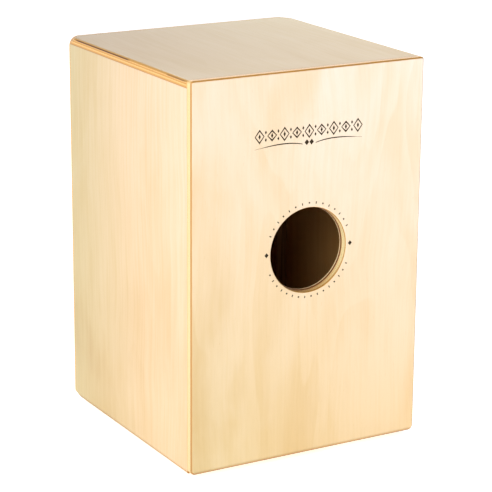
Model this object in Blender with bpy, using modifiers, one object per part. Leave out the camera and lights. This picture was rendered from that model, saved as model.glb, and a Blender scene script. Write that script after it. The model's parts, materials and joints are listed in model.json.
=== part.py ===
"""A compact snare cajon: a plywood box drum with a sound hole, a screwed-on front plate and two fan snares.

Metres, +Z up. The origin is the floor point under the middle of the box. The front plate, which is
played, faces -Y, and the back panel with the sound hole faces +Y.
"""

import math

import bmesh
import bpy
from mathutils import Matrix, Vector

# Driving sizes of the box
WIDTH = 0.300
DEPTH = 0.304
BODY_HEIGHT = 0.450
FOOT_HEIGHT = 0.008
BODY_PLY = 0.009
BACK_PLY = 0.009
FRONT_PLY = 0.003
GAP = 0.0003

# Rounded edges
SEAT_EDGE_RADIUS = 0.0035
LOWER_EDGE_RADIUS = 0.0025
BACK_TOP_CORNER = 0.0035
BACK_BOTTOM_CORNER = 0.0065
BACK_EDGE_ROUND = 0.003
FRONT_EDGE_ROUND = 0.001
CORNER_SEGMENTS = 6
EDGE_SEGMENTS = 3

# The front corners are sanded to a larger radius that fades out towards the back
FRONT_TOP_CORNER = 0.012
FRONT_BOTTOM_CORNER = 0.007
FRONT_CORNER_RUN = 0.022
FRONT_CORNER_END = 0.0015
FRONT_CORNER_STATIONS = 5

# Sound hole
HOLE_RADIUS = 0.0492
HOLE_ROUND = 0.0015
HOLE_INNER_ROUND = 0.0006
HOLE_CENTRE_HEIGHT = 0.2435
HOLE_SEGMENTS = 72
HOLE_RING_INSIDE = 0.0480
HOLE_RING_OUTSIDE = 0.0600
HOLE_RING_THICKNESS = 0.0023

# Battens behind the front plate
BATTEN_DEPTH = 0.020
BATTEN_WIDTH = 0.015

# Screws
SCREW_SEGMENTS = 12
PILOT_SEGMENTS = 12
COUNTERSINK_SEGMENTS = 16
FRONT_SCREW_HEAD_RADIUS = 0.0036
FRONT_SCREW_HEAD_DEPTH = 0.0022
FRONT_SCREW_SHANK_RADIUS = 0.0016
FRONT_SCREW_LENGTH = 0.018
FRONT_SCREW_SINK = 0.0002
SCREWS_PER_SIDE = 6
SCREWS_PER_END = 5
SMALL_SCREW_HEAD_RADIUS = 0.0030
SMALL_SCREW_HEAD_HEIGHT = 0.0014
SMALL_SCREW_DOME = 0.0010
SMALL_SCREW_SHANK_RADIUS = 0.0013
SMALL_SCREW_LENGTH = 0.012
SCREW_TIP_LENGTH = 0.003
RECESS_WIDTH = 0.0009
RECESS_SPAN = 0.0034
RECESS_DEPTH = 0.0009

# Rubber feet
FOOT_TOP_RADIUS = 0.0120
FOOT_FLOOR_RADIUS = 0.0105
FOOT_EDGE_ROUND = 0.0012
FOOT_INSET = 0.045
FOOT_COUNTERBORE_RADIUS = 0.0042
FOOT_COUNTERBORE_DEPTH = 0.0045
FOOT_SEGMENTS = 24

# Fan snares behind the upper corners of the front plate
SNARE_WIRES = 10
SNARE_WIRE_RADIUS = 0.0011
SNARE_WIRE_LENGTH = 0.110
SNARE_SPREAD = math.radians(12)
SNARE_OFFSET = 0.074
SNARE_SOLDER_DEPTH = 0.0003
SNARE_PLATE_WIDTH = 0.052
SNARE_PLATE_HEIGHT = 0.016
SNARE_PLATE_THICKNESS = 0.0012
SNARE_ROOT_SPAN = 0.044
SNARE_SOLDER_LENGTH = 0.005
SNARE_SCREW_SPACING = 0.036
SNARE_BLOCK_WIDTH = 0.060
SNARE_BLOCK_HEIGHT = 0.022

# How far a corner tool's arc stands clear of the plane that it would otherwise only touch
CORNER_TOOL_CLEARANCE = 0.00005

# Planes that the pieces share
HALF_WIDTH = WIDTH / 2
HALF_DEPTH = DEPTH / 2
BODY_BOTTOM = FOOT_HEIGHT
BODY_TOP = FOOT_HEIGHT + BODY_HEIGHT
FRONT_INSIDE = -HALF_DEPTH + FRONT_PLY
BACK_INSIDE = HALF_DEPTH - BACK_PLY
SIDE_INSIDE = HALF_WIDTH - BODY_PLY
TOP_UNDERSIDE = BODY_TOP - BODY_PLY
BOTTOM_UPPERSIDE = BODY_BOTTOM + BODY_PLY
HOLE_HEIGHT = BODY_BOTTOM + HOLE_CENTRE_HEIGHT
BATTEN_REAR = FRONT_INSIDE + GAP + BATTEN_DEPTH
BATTEN_INSIDE = SIDE_INSIDE - GAP - BATTEN_WIDTH
TOP_BATTEN_UNDERSIDE = TOP_UNDERSIDE - GAP - BATTEN_WIDTH
SNARE_WIRE_Y = FRONT_INSIDE + GAP + SNARE_WIRE_RADIUS
SNARE_PLATE_FRONT = SNARE_WIRE_Y + SNARE_WIRE_RADIUS - SNARE_SOLDER_DEPTH
SNARE_PLATE_TOP = TOP_BATTEN_UNDERSIDE - 0.002
SNARE_PLATE_BOTTOM = SNARE_PLATE_TOP - SNARE_PLATE_HEIGHT
SNARE_SCREW_HEIGHT = SNARE_PLATE_TOP - 0.005
FRONT_SCREW_SIDE = SIDE_INSIDE - GAP - BATTEN_WIDTH / 2
FRONT_SCREW_TOP = TOP_UNDERSIDE - GAP - BATTEN_WIDTH / 2
FRONT_SCREW_BOTTOM = BOTTOM_UPPERSIDE + GAP + BATTEN_WIDTH / 2
FRONT_PILOT_DEPTH = FRONT_SCREW_SINK + FRONT_SCREW_LENGTH - FRONT_PLY
SNARE_PILOT_DEPTH = SMALL_SCREW_LENGTH - SNARE_PLATE_THICKNESS - GAP
FOOT_PILOT_DEPTH = FOOT_COUNTERBORE_DEPTH + SMALL_SCREW_LENGTH - FOOT_HEIGHT

# Directions in which a screw is driven, as turns from a shape that is driven towards -Z
DRIVEN_BACKWARDS = Matrix.Rotation(math.radians(90), 4, "X")
DRIVEN_UPWARDS = Matrix.Rotation(math.radians(180), 4, "X")


def clear_scene():
    """Remove whatever the file opened with."""
    for thing in list(bpy.data.objects):
        bpy.data.objects.remove(thing)


def make_collection(name):
    collection = bpy.data.collections.new(name)
    bpy.context.scene.collection.children.link(collection)
    return collection


def make_material(name, colour, roughness, metallic=0.0):
    """A plain finish with one colour."""
    material = bpy.data.materials.new(name)
    material.use_nodes = True
    shader = material.node_tree.nodes["Principled BSDF"]
    shader.inputs["Base Color"].default_value = (*colour, 1.0)
    shader.inputs["Roughness"].default_value = roughness
    shader.inputs["Metallic"].default_value = metallic
    material.diffuse_color = (*colour, 1.0)
    return material


def add_object(name, mesh, collection, material=None):
    made = bpy.data.objects.new(name, mesh)
    collection.objects.link(made)
    if material is not None and not mesh.materials:
        mesh.materials.append(material)
    return made


def box_mesh(name, low, high):
    """A box between two corners, centred on its own origin, and the place of that origin."""
    low = Vector(low)
    high = Vector(high)
    mesh = bpy.data.meshes.new(name)
    shape = bmesh.new()
    bmesh.ops.create_cube(shape, size=1.0)
    bmesh.ops.scale(shape, vec=high - low, verts=shape.verts)
    shape.to_mesh(mesh)
    shape.free()
    return mesh, (low + high) / 2


def round_long_edges(mesh, axis, radius, chosen=lambda middle: True):
    """Round the edges of a box mesh that run along an axis and whose middle point is chosen."""
    shape = bmesh.new()
    shape.from_mesh(mesh)
    edges = []
    for edge in shape.edges:
        along = edge.verts[1].co - edge.verts[0].co
        middle = (edge.verts[0].co + edge.verts[1].co) / 2
        if abs(along[axis]) > 0.99 * along.length and chosen(middle):
            edges.append(edge)
    bmesh.ops.bevel(
        shape, geom=edges, offset=radius, segments=CORNER_SEGMENTS, profile=0.5, affect="EDGES"
    )
    shape.to_mesh(mesh)
    shape.free()


def round_outline(mesh, side, radius):
    """Round the whole outline of the face of a panel that looks along Y to the given side."""
    shape = bmesh.new()
    shape.from_mesh(mesh)
    face = max(shape.faces, key=lambda candidate: candidate.normal.y * side * candidate.calc_area())
    bmesh.ops.bevel(
        shape, geom=list(face.edges), offset=radius, segments=EDGE_SEGMENTS, profile=0.5, affect="EDGES"
    )
    shape.to_mesh(mesh)
    shape.free()


def smooth(mesh):
    """Shade round stretches smooth and keep edges of more than 30 degrees sharp."""
    mesh.shade_smooth()
    mesh.set_sharp_from_angle(angle=math.radians(30))


def make_box(name, low, high, collection, material):
    mesh, middle = box_mesh(name, low, high)
    made = add_object(name, mesh, collection, material)
    made.location = middle
    return made


def turned_mesh(name, profile, segments, closed=False):
    """The solid that a profile of (radius, height) points sweeps round Z, listed from top to bottom."""
    outline = bpy.data.meshes.new(name + "_profile")
    points = [(radius, 0.0, height) for radius, height in profile]
    edges = [(i, i + 1) for i in range(len(points) - 1)]
    if closed:
        edges.append((len(points) - 1, 0))
    outline.from_pydata(points, edges, [])
    guide = bpy.data.objects.new(name + "_guide", outline)
    bpy.context.scene.collection.objects.link(guide)
    screw = guide.modifiers.new("Turn", "SCREW")
    screw.steps = segments
    screw.render_steps = segments
    screw.use_merge_vertices = True
    screw.merge_threshold = 0.00001
    bpy.context.view_layer.update()
    evaluated = guide.evaluated_get(bpy.context.evaluated_depsgraph_get())
    mesh = bpy.data.meshes.new_from_object(evaluated)
    mesh.name = name
    bpy.data.objects.remove(guide)
    bpy.data.meshes.remove(outline)
    smooth(mesh)
    return mesh


def quarter_round(centre_radius, centre_height, radius, start, end, steps):
    """Profile points along an arc between two angles, in degrees from the outward direction."""
    points = []
    for step in range(steps + 1):
        angle = math.radians(start + (end - start) * step / steps)
        points.append((centre_radius + radius * math.cos(angle), centre_height + radius * math.sin(angle)))
    return points


def combine(made, operand, operation):
    """Cut an object with another, or join the two."""
    boolean = made.modifiers.new("Combine with " + operand.name, "BOOLEAN")
    boolean.operation = operation
    boolean.object = operand


def as_cutter(name, mesh, cutters, place):
    cutter = add_object(name, mesh, cutters)
    cutter.matrix_world = place
    cutter.hide_render = True
    cutter.display_type = "WIRE"
    return cutter


def finished_mesh(made):
    """The mesh of an object with its modifiers applied; the object itself is removed."""
    bpy.context.view_layer.update()
    evaluated = made.evaluated_get(bpy.context.evaluated_depsgraph_get())
    mesh = bpy.data.meshes.new_from_object(evaluated)
    bpy.data.objects.remove(made)
    return mesh


def screw_places():
    """Name and (x, z) of every screw round the front plate."""
    rows = []
    for side, name in ((-1, "left"), (1, "right")):
        for index in range(SCREWS_PER_SIDE):
            share = index / (SCREWS_PER_SIDE - 1)
            height = FRONT_SCREW_TOP + (FRONT_SCREW_BOTTOM - FRONT_SCREW_TOP) * share
            rows.append((f"front_screw_{name}_{index + 1}", side * FRONT_SCREW_SIDE, height))
    for height, name in ((FRONT_SCREW_TOP, "top"), (FRONT_SCREW_BOTTOM, "bottom")):
        for index in range(1, SCREWS_PER_END - 1):
            across = FRONT_SCREW_SIDE * (2 * index / (SCREWS_PER_END - 1) - 1)
            rows.append((f"front_screw_{name}_{index}", across, height))
    return rows


def foot_places():
    """Name and (x, y) of every foot."""
    places = []
    for y_side, end in ((-1, "front"), (1, "rear")):
        y = y_side * (HALF_DEPTH - FOOT_INSET)
        for x_side, hand in ((-1, "left"), (1, "right")):
            x = x_side * (HALF_WIDTH - FOOT_INSET)
            places.append((f"{end}_{hand}", x, y))
    return places


def snare_screw_places():
    """Name and x of every snare screw."""
    places = []
    for side, hand in ((-1, "left"), (1, "right")):
        for offset in (-1, 1):
            which = "outer" if offset == side else "inner"
            x = side * SNARE_OFFSET + offset * SNARE_SCREW_SPACING / 2
            places.append((f"snare_screw_{hand}_{which}", x))
    return places


def corner_tool(name, x_side, z_side, cutters):
    """The tool that rounds one front corner of the body; its radius shrinks towards the back."""
    spare = 0.002
    outside_x = x_side * HALF_WIDTH
    outside_z = BODY_TOP if z_side > 0 else BODY_BOTTOM
    full_radius = FRONT_TOP_CORNER if z_side > 0 else FRONT_BOTTOM_CORNER
    rings = []
    shape = bmesh.new()
    for station in range(FRONT_CORNER_STATIONS + 1):
        share = station / FRONT_CORNER_STATIONS
        radius = FRONT_CORNER_END + (full_radius - FRONT_CORNER_END) * (1 - share) ** 2
        y = FRONT_INSIDE - spare * (1 - share) + FRONT_CORNER_RUN * share
        arc = quarter_round(radius, radius, radius + CORNER_TOOL_CLEARANCE, 180, 270, CORNER_SEGMENTS)
        section = [(-spare, arc[0][1]), *arc, (arc[-1][0], -spare), (-spare, -spare)]
        ring = [shape.verts.new((outside_x - x_side * a, y, outside_z - z_side * b)) for a, b in section]
        rings.append(ring)
    for first, second in zip(rings, rings[1:]):
        for index in range(len(first)):
            following = (index + 1) % len(first)
            shape.faces.new((first[index], first[following], second[following], second[index]))
    shape.faces.new(rings[0])
    shape.faces.new(rings[-1])
    bmesh.ops.recalc_face_normals(shape, faces=shape.faces)
    mesh = bpy.data.meshes.new(name)
    shape.to_mesh(mesh)
    shape.free()
    return as_cutter(name, mesh, cutters, Matrix.Identity(4))


def round_front_corners(panel, corners, cutters):
    """Round the given front corners, each named by its X side and Z side, off a panel of the body."""
    for x_side, z_side in corners:
        name = f"corner_{panel.name}_{x_side}_{z_side}"
        combine(panel, corner_tool(name, x_side, z_side, cutters), "DIFFERENCE")


def make_top_panel(parts, cutters, material):
    """The seat, which laps over the sides; its long edges are rounded."""
    low = (-HALF_WIDTH, FRONT_INSIDE + GAP, TOP_UNDERSIDE)
    high = (HALF_WIDTH, BACK_INSIDE - GAP, BODY_TOP)
    panel = make_box("top_panel", low, high, parts, material)
    round_long_edges(panel.data, 1, SEAT_EDGE_RADIUS, lambda middle: middle.z > 0)
    smooth(panel.data)
    round_front_corners(panel, [(-1, 1), (1, 1)], cutters)


def make_bottom_panel(parts, cutters, material, pilot):
    """The floor of the box, held between the sides, with a pilot hole for each foot screw."""
    low = (-SIDE_INSIDE + GAP, FRONT_INSIDE + GAP, BODY_BOTTOM)
    high = (SIDE_INSIDE - GAP, BACK_INSIDE - GAP, BOTTOM_UPPERSIDE)
    panel = make_box("bottom_panel", low, high, parts, material)
    for name, x, y in foot_places():
        place = Matrix.Translation((x, y, BODY_BOTTOM)) @ DRIVEN_UPWARDS
        combine(panel, as_cutter(f"foot_pilot_{name}", pilot, cutters, place), "DIFFERENCE")


def make_side_panel(name, side, parts, cutters, material):
    """A side stands under the seat and rounds under at its lower outer edge."""
    near = side * SIDE_INSIDE
    far = side * HALF_WIDTH
    low = (min(near, far), FRONT_INSIDE + GAP, BODY_BOTTOM)
    high = (max(near, far), BACK_INSIDE - GAP, TOP_UNDERSIDE - GAP)
    panel = make_box(name, low, high, parts, material)
    round_long_edges(panel.data, 1, LOWER_EDGE_RADIUS, lambda middle: middle.z < 0 and middle.x * side > 0)
    smooth(panel.data)
    round_front_corners(panel, [(side, -1), (side, 1)], cutters)


def sound_hole_profile():
    """Outline of the tool that cuts the hole, in heights above the panel's inside face."""
    spare = 0.002
    flare = quarter_round(HOLE_RADIUS + HOLE_ROUND, BACK_PLY - HOLE_ROUND, HOLE_ROUND, 90, 180, 6)
    inner = quarter_round(HOLE_RADIUS + HOLE_INNER_ROUND, HOLE_INNER_ROUND, HOLE_INNER_ROUND, 180, 270, 2)
    top = [(0.0, BACK_PLY + spare), (flare[0][0], BACK_PLY + spare)]
    bottom = [(inner[-1][0], -spare), (0.0, -spare)]
    return top + flare + inner + bottom


def make_back_panel(parts, cutters, material):
    """The back laps over the rear edges of the box and carries the sound hole."""
    low = (-HALF_WIDTH, BACK_INSIDE, BODY_BOTTOM)
    high = (HALF_WIDTH, HALF_DEPTH, BODY_TOP)
    panel = make_box("back_panel", low, high, parts, material)
    round_long_edges(panel.data, 1, BACK_TOP_CORNER, lambda middle: middle.z > 0)
    round_long_edges(panel.data, 1, BACK_BOTTOM_CORNER, lambda middle: middle.z < -BODY_HEIGHT / 4)
    round_outline(panel.data, 1, BACK_EDGE_ROUND)
    smooth(panel.data)
    tool = turned_mesh("sound_hole", sound_hole_profile(), HOLE_SEGMENTS)
    place = Matrix.Translation((0, BACK_INSIDE, HOLE_HEIGHT)) @ Matrix.Rotation(math.radians(-90), 4, "X")
    combine(panel, as_cutter("sound_hole_cutter", tool, cutters, place), "DIFFERENCE")


def make_hole_ring(parts, material):
    """The thin ring glued behind the sound hole, whose edge stands a little into the opening."""
    profile = [
        (HOLE_RING_INSIDE, HOLE_RING_THICKNESS),
        (HOLE_RING_OUTSIDE, HOLE_RING_THICKNESS),
        (HOLE_RING_OUTSIDE, 0.0),
        (HOLE_RING_INSIDE, 0.0),
    ]
    mesh = turned_mesh("sound_hole_ring", profile, HOLE_SEGMENTS, True)
    ring = add_object("sound_hole_ring", mesh, parts, material)
    ring.matrix_world = Matrix.Translation((0, BACK_INSIDE - GAP, HOLE_HEIGHT)) @ DRIVEN_BACKWARDS


def make_front_plate(parts, cutters, material, countersink):
    """The thin playing surface, with a countersunk hole for each screw."""
    low = (-HALF_WIDTH, -HALF_DEPTH, BODY_BOTTOM)
    high = (HALF_WIDTH, FRONT_INSIDE, BODY_TOP)
    plate = make_box("front_plate", low, high, parts, material)
    round_long_edges(plate.data, 1, FRONT_TOP_CORNER, lambda middle: middle.z > 0)
    round_long_edges(plate.data, 1, FRONT_BOTTOM_CORNER, lambda middle: middle.z < -BODY_HEIGHT / 4)
    round_outline(plate.data, -1, FRONT_EDGE_ROUND)
    smooth(plate.data)
    for name, x, z in screw_places():
        place = Matrix.Translation((x, -HALF_DEPTH, z)) @ DRIVEN_BACKWARDS
        combine(plate, as_cutter(f"{name}_countersink", countersink, cutters, place), "DIFFERENCE")


def make_battens(parts, cutters, material, pilot):
    """Four battens frame the opening behind the front plate and take its screws."""
    front = FRONT_INSIDE + GAP
    bottom = BOTTOM_UPPERSIDE + GAP
    top = TOP_UNDERSIDE - GAP
    outside = SIDE_INSIDE - GAP
    inside = BATTEN_INSIDE - GAP
    boxes = {
        "left": ((-outside, front, bottom), (-BATTEN_INSIDE, BATTEN_REAR, top)),
        "right": ((BATTEN_INSIDE, front, bottom), (outside, BATTEN_REAR, top)),
        "top": ((-inside, front, TOP_BATTEN_UNDERSIDE), (inside, BATTEN_REAR, top)),
        "bottom": ((-inside, front, bottom), (inside, BATTEN_REAR, bottom + BATTEN_WIDTH)),
    }
    battens = {}
    for name, (low, high) in boxes.items():
        battens[name] = make_box(f"front_batten_{name}", low, high, parts, material)
    for name, x, z in screw_places():
        place = Matrix.Translation((x, front, z)) @ DRIVEN_BACKWARDS
        side = name.split("_")[2]
        combine(battens[side], as_cutter(f"{name}_pilot", pilot, cutters, place), "DIFFERENCE")


def cross_recess(cutters, height):
    """A cross of two bars, sunk into a screw head whose top is at the given height."""
    bars = []
    for angle in (0, 90):
        mesh, middle = box_mesh(
            "recess_bar",
            (-RECESS_SPAN / 2, -RECESS_WIDTH / 2, height - RECESS_DEPTH),
            (RECESS_SPAN / 2, RECESS_WIDTH / 2, height + RECESS_DEPTH),
        )
        place = Matrix.Rotation(math.radians(angle), 4, "Z") @ Matrix.Translation(middle)
        bars.append(as_cutter("recess_bar", mesh, cutters, place))
    return bars


def screw_mesh(name, profile, top, parts, cutters, material):
    """A turned screw, driven towards -Z, with a cross recess in its head."""
    blank = add_object(name, turned_mesh(name, profile, SCREW_SEGMENTS), parts, material)
    bars = cross_recess(cutters, top)
    for bar in bars:
        combine(blank, bar, "DIFFERENCE")
    mesh = finished_mesh(blank)
    for bar in bars:
        bpy.data.objects.remove(bar)
    smooth(mesh)
    return mesh


def countersunk_profile():
    """Flat head level with z = 0, cone, shank and point."""
    top = -FRONT_SCREW_SINK
    rim = top - 0.0003
    end = top - FRONT_SCREW_LENGTH
    return [
        (0.0, top),
        (FRONT_SCREW_HEAD_RADIUS, top),
        (FRONT_SCREW_HEAD_RADIUS, rim),
        (FRONT_SCREW_SHANK_RADIUS, top - FRONT_SCREW_HEAD_DEPTH),
        (FRONT_SCREW_SHANK_RADIUS, end + SCREW_TIP_LENGTH),
        (0.0, end),
    ]


def pan_head_profile():
    """Domed head that stands on z = 0, shank and point."""
    dome_centre = (SMALL_SCREW_HEAD_RADIUS - SMALL_SCREW_DOME, SMALL_SCREW_HEAD_HEIGHT - SMALL_SCREW_DOME)
    dome = quarter_round(*dome_centre, SMALL_SCREW_DOME, 90, 0, 2)
    return [
        (0.0, SMALL_SCREW_HEAD_HEIGHT),
        *dome,
        (SMALL_SCREW_HEAD_RADIUS, 0.0),
        (SMALL_SCREW_SHANK_RADIUS, 0.0),
        (SMALL_SCREW_SHANK_RADIUS, SCREW_TIP_LENGTH - SMALL_SCREW_LENGTH),
        (0.0, -SMALL_SCREW_LENGTH),
    ]


def countersink_mesh():
    """The tool for a countersunk hole through the front plate, with its mouth at z = 0."""
    spare = 0.002
    profile = [
        (0.0, spare),
        (FRONT_SCREW_HEAD_RADIUS + GAP, spare),
        (FRONT_SCREW_HEAD_RADIUS + GAP, -FRONT_SCREW_SINK - GAP),
        (FRONT_SCREW_SHANK_RADIUS + GAP, -FRONT_SCREW_SINK - FRONT_SCREW_HEAD_DEPTH - GAP),
        (FRONT_SCREW_SHANK_RADIUS + GAP, -FRONT_PLY - spare),
        (0.0, -FRONT_PLY - spare),
    ]
    return turned_mesh("countersink", profile, COUNTERSINK_SEGMENTS)


def pilot_mesh(name, radius, depth):
    """The tool for a blind pilot hole, with its mouth at z = 0."""
    spare = 0.002
    profile = [(0.0, spare), (radius, spare), (radius, -depth), (0.0, -depth)]
    return turned_mesh(name, profile, PILOT_SEGMENTS)


def make_front_screws(parts, mesh, material):
    for name, x, z in screw_places():
        screw = add_object(name, mesh, parts, material)
        screw.matrix_world = Matrix.Translation((x, -HALF_DEPTH, z)) @ DRIVEN_BACKWARDS


def foot_profile():
    """A tapered rubber foot, hung below z = 0, with a counterbore from below for its screw."""
    floor = GAP - FOOT_HEIGHT
    shoulder = floor + FOOT_COUNTERBORE_DEPTH
    bore = SMALL_SCREW_SHANK_RADIUS + GAP
    edge_centre = (FOOT_FLOOR_RADIUS - FOOT_EDGE_ROUND, floor + FOOT_EDGE_ROUND)
    edge = quarter_round(*edge_centre, FOOT_EDGE_ROUND, 0, -90, 2)
    return [
        (bore, 0.0),
        (FOOT_TOP_RADIUS, 0.0),
        *edge,
        (FOOT_COUNTERBORE_RADIUS, floor),
        (FOOT_COUNTERBORE_RADIUS, shoulder),
        (bore, shoulder),
        (bore, 0.0),
    ]


def make_feet(parts, rubber, steel, screw):
    """Four rubber feet, each held by a screw from below."""
    foot_mesh = turned_mesh("foot", foot_profile(), FOOT_SEGMENTS)
    shoulder = FOOT_COUNTERBORE_DEPTH
    for name, x, y in foot_places():
        foot = add_object(f"foot_{name}", foot_mesh, parts, rubber)
        foot.location = (x, y, BODY_BOTTOM - GAP)
        fastener = add_object(f"foot_screw_{name}", screw, parts, steel)
        fastener.matrix_world = Matrix.Translation((x, y, shoulder - GAP)) @ DRIVEN_UPWARDS


def snare_wire(parts, root, angle):
    """One wire of a fan, from its soldered root down to its free end."""
    mesh = bpy.data.meshes.new("snare_wire")
    shape = bmesh.new()
    length = SNARE_WIRE_LENGTH + SNARE_SOLDER_LENGTH
    bmesh.ops.create_cone(
        shape, cap_ends=True, segments=8, radius1=SNARE_WIRE_RADIUS, radius2=SNARE_WIRE_RADIUS, depth=length
    )
    shape.to_mesh(mesh)
    shape.free()
    wire = add_object("snare_wire", mesh, parts)
    tilt = Matrix.Rotation(angle, 4, "Y")
    start = Matrix.Translation((root, SNARE_WIRE_Y, SNARE_PLATE_BOTTOM + SNARE_SOLDER_LENGTH))
    wire.matrix_world = start @ tilt @ Matrix.Translation((0, 0, -length / 2))
    return wire


def make_snare(hand, side, parts, cutters, steel):
    """A fan snare: wires soldered to a plate, joined into one solid, with two screw holes."""
    middle = side * SNARE_OFFSET
    plate = make_box(
        f"snare_{hand}",
        (middle - SNARE_PLATE_WIDTH / 2, SNARE_PLATE_FRONT, SNARE_PLATE_BOTTOM),
        (middle + SNARE_PLATE_WIDTH / 2, SNARE_PLATE_FRONT + SNARE_PLATE_THICKNESS, SNARE_PLATE_TOP),
        parts,
        steel,
    )
    hole = pilot_mesh("snare_screw_hole", SMALL_SCREW_SHANK_RADIUS + GAP, 2 * SNARE_PLATE_THICKNESS)
    for name, x in snare_screw_places():
        if hand in name:
            place = Matrix.Translation((x, SNARE_PLATE_FRONT, SNARE_SCREW_HEIGHT)) @ DRIVEN_BACKWARDS
            combine(plate, as_cutter(f"{name}_hole", hole, cutters, place), "DIFFERENCE")
    wires = []
    for index in range(SNARE_WIRES):
        share = 2 * index / (SNARE_WIRES - 1) - 1
        wires.append(snare_wire(parts, middle + share * SNARE_ROOT_SPAN / 2, -share * SNARE_SPREAD))
        combine(plate, wires[-1], "UNION")
    place = plate.matrix_world.copy()
    mesh = finished_mesh(plate)
    for wire in wires:
        bpy.data.objects.remove(wire)
    smooth(mesh)
    snare = add_object(f"snare_{hand}", mesh, parts, steel)
    snare.matrix_world = place


def make_snare_block(hand, side, parts, cutters, material, pilot):
    """The wooden block that a fan snare is screwed to, glued under the top batten."""
    middle = side * SNARE_OFFSET
    front = SNARE_PLATE_FRONT + SNARE_PLATE_THICKNESS + GAP
    top = TOP_BATTEN_UNDERSIDE - GAP
    block = make_box(
        f"snare_block_{hand}",
        (middle - SNARE_BLOCK_WIDTH / 2, front, top - SNARE_BLOCK_HEIGHT),
        (middle + SNARE_BLOCK_WIDTH / 2, BATTEN_REAR, top),
        parts,
        material,
    )
    for name, x in snare_screw_places():
        if hand in name:
            place = Matrix.Translation((x, front, SNARE_SCREW_HEIGHT)) @ DRIVEN_BACKWARDS
            combine(block, as_cutter(f"{name}_pilot", pilot, cutters, place), "DIFFERENCE")


def make_snare_screws(parts, mesh, material):
    for name, x in snare_screw_places():
        screw = add_object(name, mesh, parts, material)
        place = Matrix.Translation((x, SNARE_PLATE_FRONT - GAP, SNARE_SCREW_HEIGHT))
        screw.matrix_world = place @ DRIVEN_BACKWARDS


def build():
    clear_scene()
    parts = make_collection("cajon")
    cutters = make_collection("cutters")

    veneer = make_material("birch_veneer", (0.93, 0.78, 0.52), 0.45)
    seat_veneer = make_material("seat_veneer", (0.75, 0.64, 0.48), 0.40)
    batten_wood = make_material("batten_wood", (0.72, 0.55, 0.33), 0.60)
    rubber = make_material("rubber", (0.03, 0.03, 0.03), 0.80)
    black_steel = make_material("black_steel", (0.04, 0.04, 0.045), 0.35, 0.9)
    bright_steel = make_material("bright_steel", (0.70, 0.70, 0.72), 0.25, 1.0)

    front_pilot = pilot_mesh("front_pilot", FRONT_SCREW_SHANK_RADIUS + GAP, FRONT_PILOT_DEPTH)
    snare_pilot = pilot_mesh("snare_pilot", SMALL_SCREW_SHANK_RADIUS + GAP, SNARE_PILOT_DEPTH)
    foot_pilot = pilot_mesh("foot_pilot", SMALL_SCREW_SHANK_RADIUS + GAP, FOOT_PILOT_DEPTH)
    front_screw = screw_mesh(
        "front_screw", countersunk_profile(), -FRONT_SCREW_SINK, parts, cutters, black_steel
    )
    small_screw = screw_mesh(
        "small_screw", pan_head_profile(), SMALL_SCREW_HEAD_HEIGHT, parts, cutters, bright_steel
    )

    make_top_panel(parts, cutters, seat_veneer)
    make_bottom_panel(parts, cutters, veneer, foot_pilot)
    make_side_panel("left_side_panel", -1, parts, cutters, veneer)
    make_side_panel("right_side_panel", 1, parts, cutters, veneer)
    make_back_panel(parts, cutters, veneer)
    make_hole_ring(parts, veneer)
    make_front_plate(parts, cutters, veneer, countersink_mesh())
    make_battens(parts, cutters, batten_wood, front_pilot)
    make_front_screws(parts, front_screw, black_steel)
    make_feet(parts, rubber, bright_steel, small_screw)
    for hand, side in (("left", -1), ("right", 1)):
        make_snare_block(hand, side, parts, cutters, batten_wood, snare_pilot)
        make_snare(hand, side, parts, cutters, bright_steel)
    make_snare_screws(parts, small_screw, bright_steel)


build()
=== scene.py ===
"""The looks of a compact snare cajon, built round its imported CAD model.

Metres, +Z up. The back panel with the sound hole faces +Y and the front plate that is played faces -Y.
The panels are rebuilt with finer roundings. Their plywood material knows how deep a point lies below
the panel's face, so the layers show wherever an edge, a rounding or the hole cuts through them.
"""

import json
import math
from typing import NamedTuple

import bmesh
import bpy
import numpy as np
from mathutils import Matrix, Vector

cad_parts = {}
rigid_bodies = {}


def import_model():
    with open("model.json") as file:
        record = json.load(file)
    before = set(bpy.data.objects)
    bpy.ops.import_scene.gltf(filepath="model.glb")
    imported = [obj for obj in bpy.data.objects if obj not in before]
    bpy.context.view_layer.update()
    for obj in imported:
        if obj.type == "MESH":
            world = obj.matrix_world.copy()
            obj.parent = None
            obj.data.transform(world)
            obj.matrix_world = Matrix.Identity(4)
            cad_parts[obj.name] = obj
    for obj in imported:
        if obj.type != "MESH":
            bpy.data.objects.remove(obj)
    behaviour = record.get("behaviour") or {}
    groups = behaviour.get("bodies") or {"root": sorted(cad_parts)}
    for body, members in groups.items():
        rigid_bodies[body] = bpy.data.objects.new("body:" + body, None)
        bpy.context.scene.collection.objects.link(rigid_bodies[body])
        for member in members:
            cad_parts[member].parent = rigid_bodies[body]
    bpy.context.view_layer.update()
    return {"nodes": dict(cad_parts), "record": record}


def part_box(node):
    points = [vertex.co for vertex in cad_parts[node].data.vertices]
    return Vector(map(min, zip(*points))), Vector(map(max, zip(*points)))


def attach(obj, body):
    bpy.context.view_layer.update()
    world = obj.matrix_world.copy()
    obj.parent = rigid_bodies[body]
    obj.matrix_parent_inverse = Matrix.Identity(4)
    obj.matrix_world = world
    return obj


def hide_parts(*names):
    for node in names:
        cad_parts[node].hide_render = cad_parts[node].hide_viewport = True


# Where the viewer stands, measured round the point that the camera looks at
VIEW_TARGET = Vector((-0.0034, 0.0053, 0.2182))
VIEW_AZIMUTH = 150.06
VIEW_ELEVATION = 16.21
VIEW_DISTANCE = 2.406
VIEW_ROLL = 0.42
VIEW_LENS = 148.3
VIEW_SENSOR = 36.0

# Studio
LIGHT_TARGET = Vector((0, 0, 0.23))
LIGHT_DISTANCE = 2.2
SKY_STRENGTH = 0.45
FLOOR_GLOW = 0.60
FLOOR_FLAT_RADIUS = 9.0
FLOOR_SWEEP_RADIUS = 3.2

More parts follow.
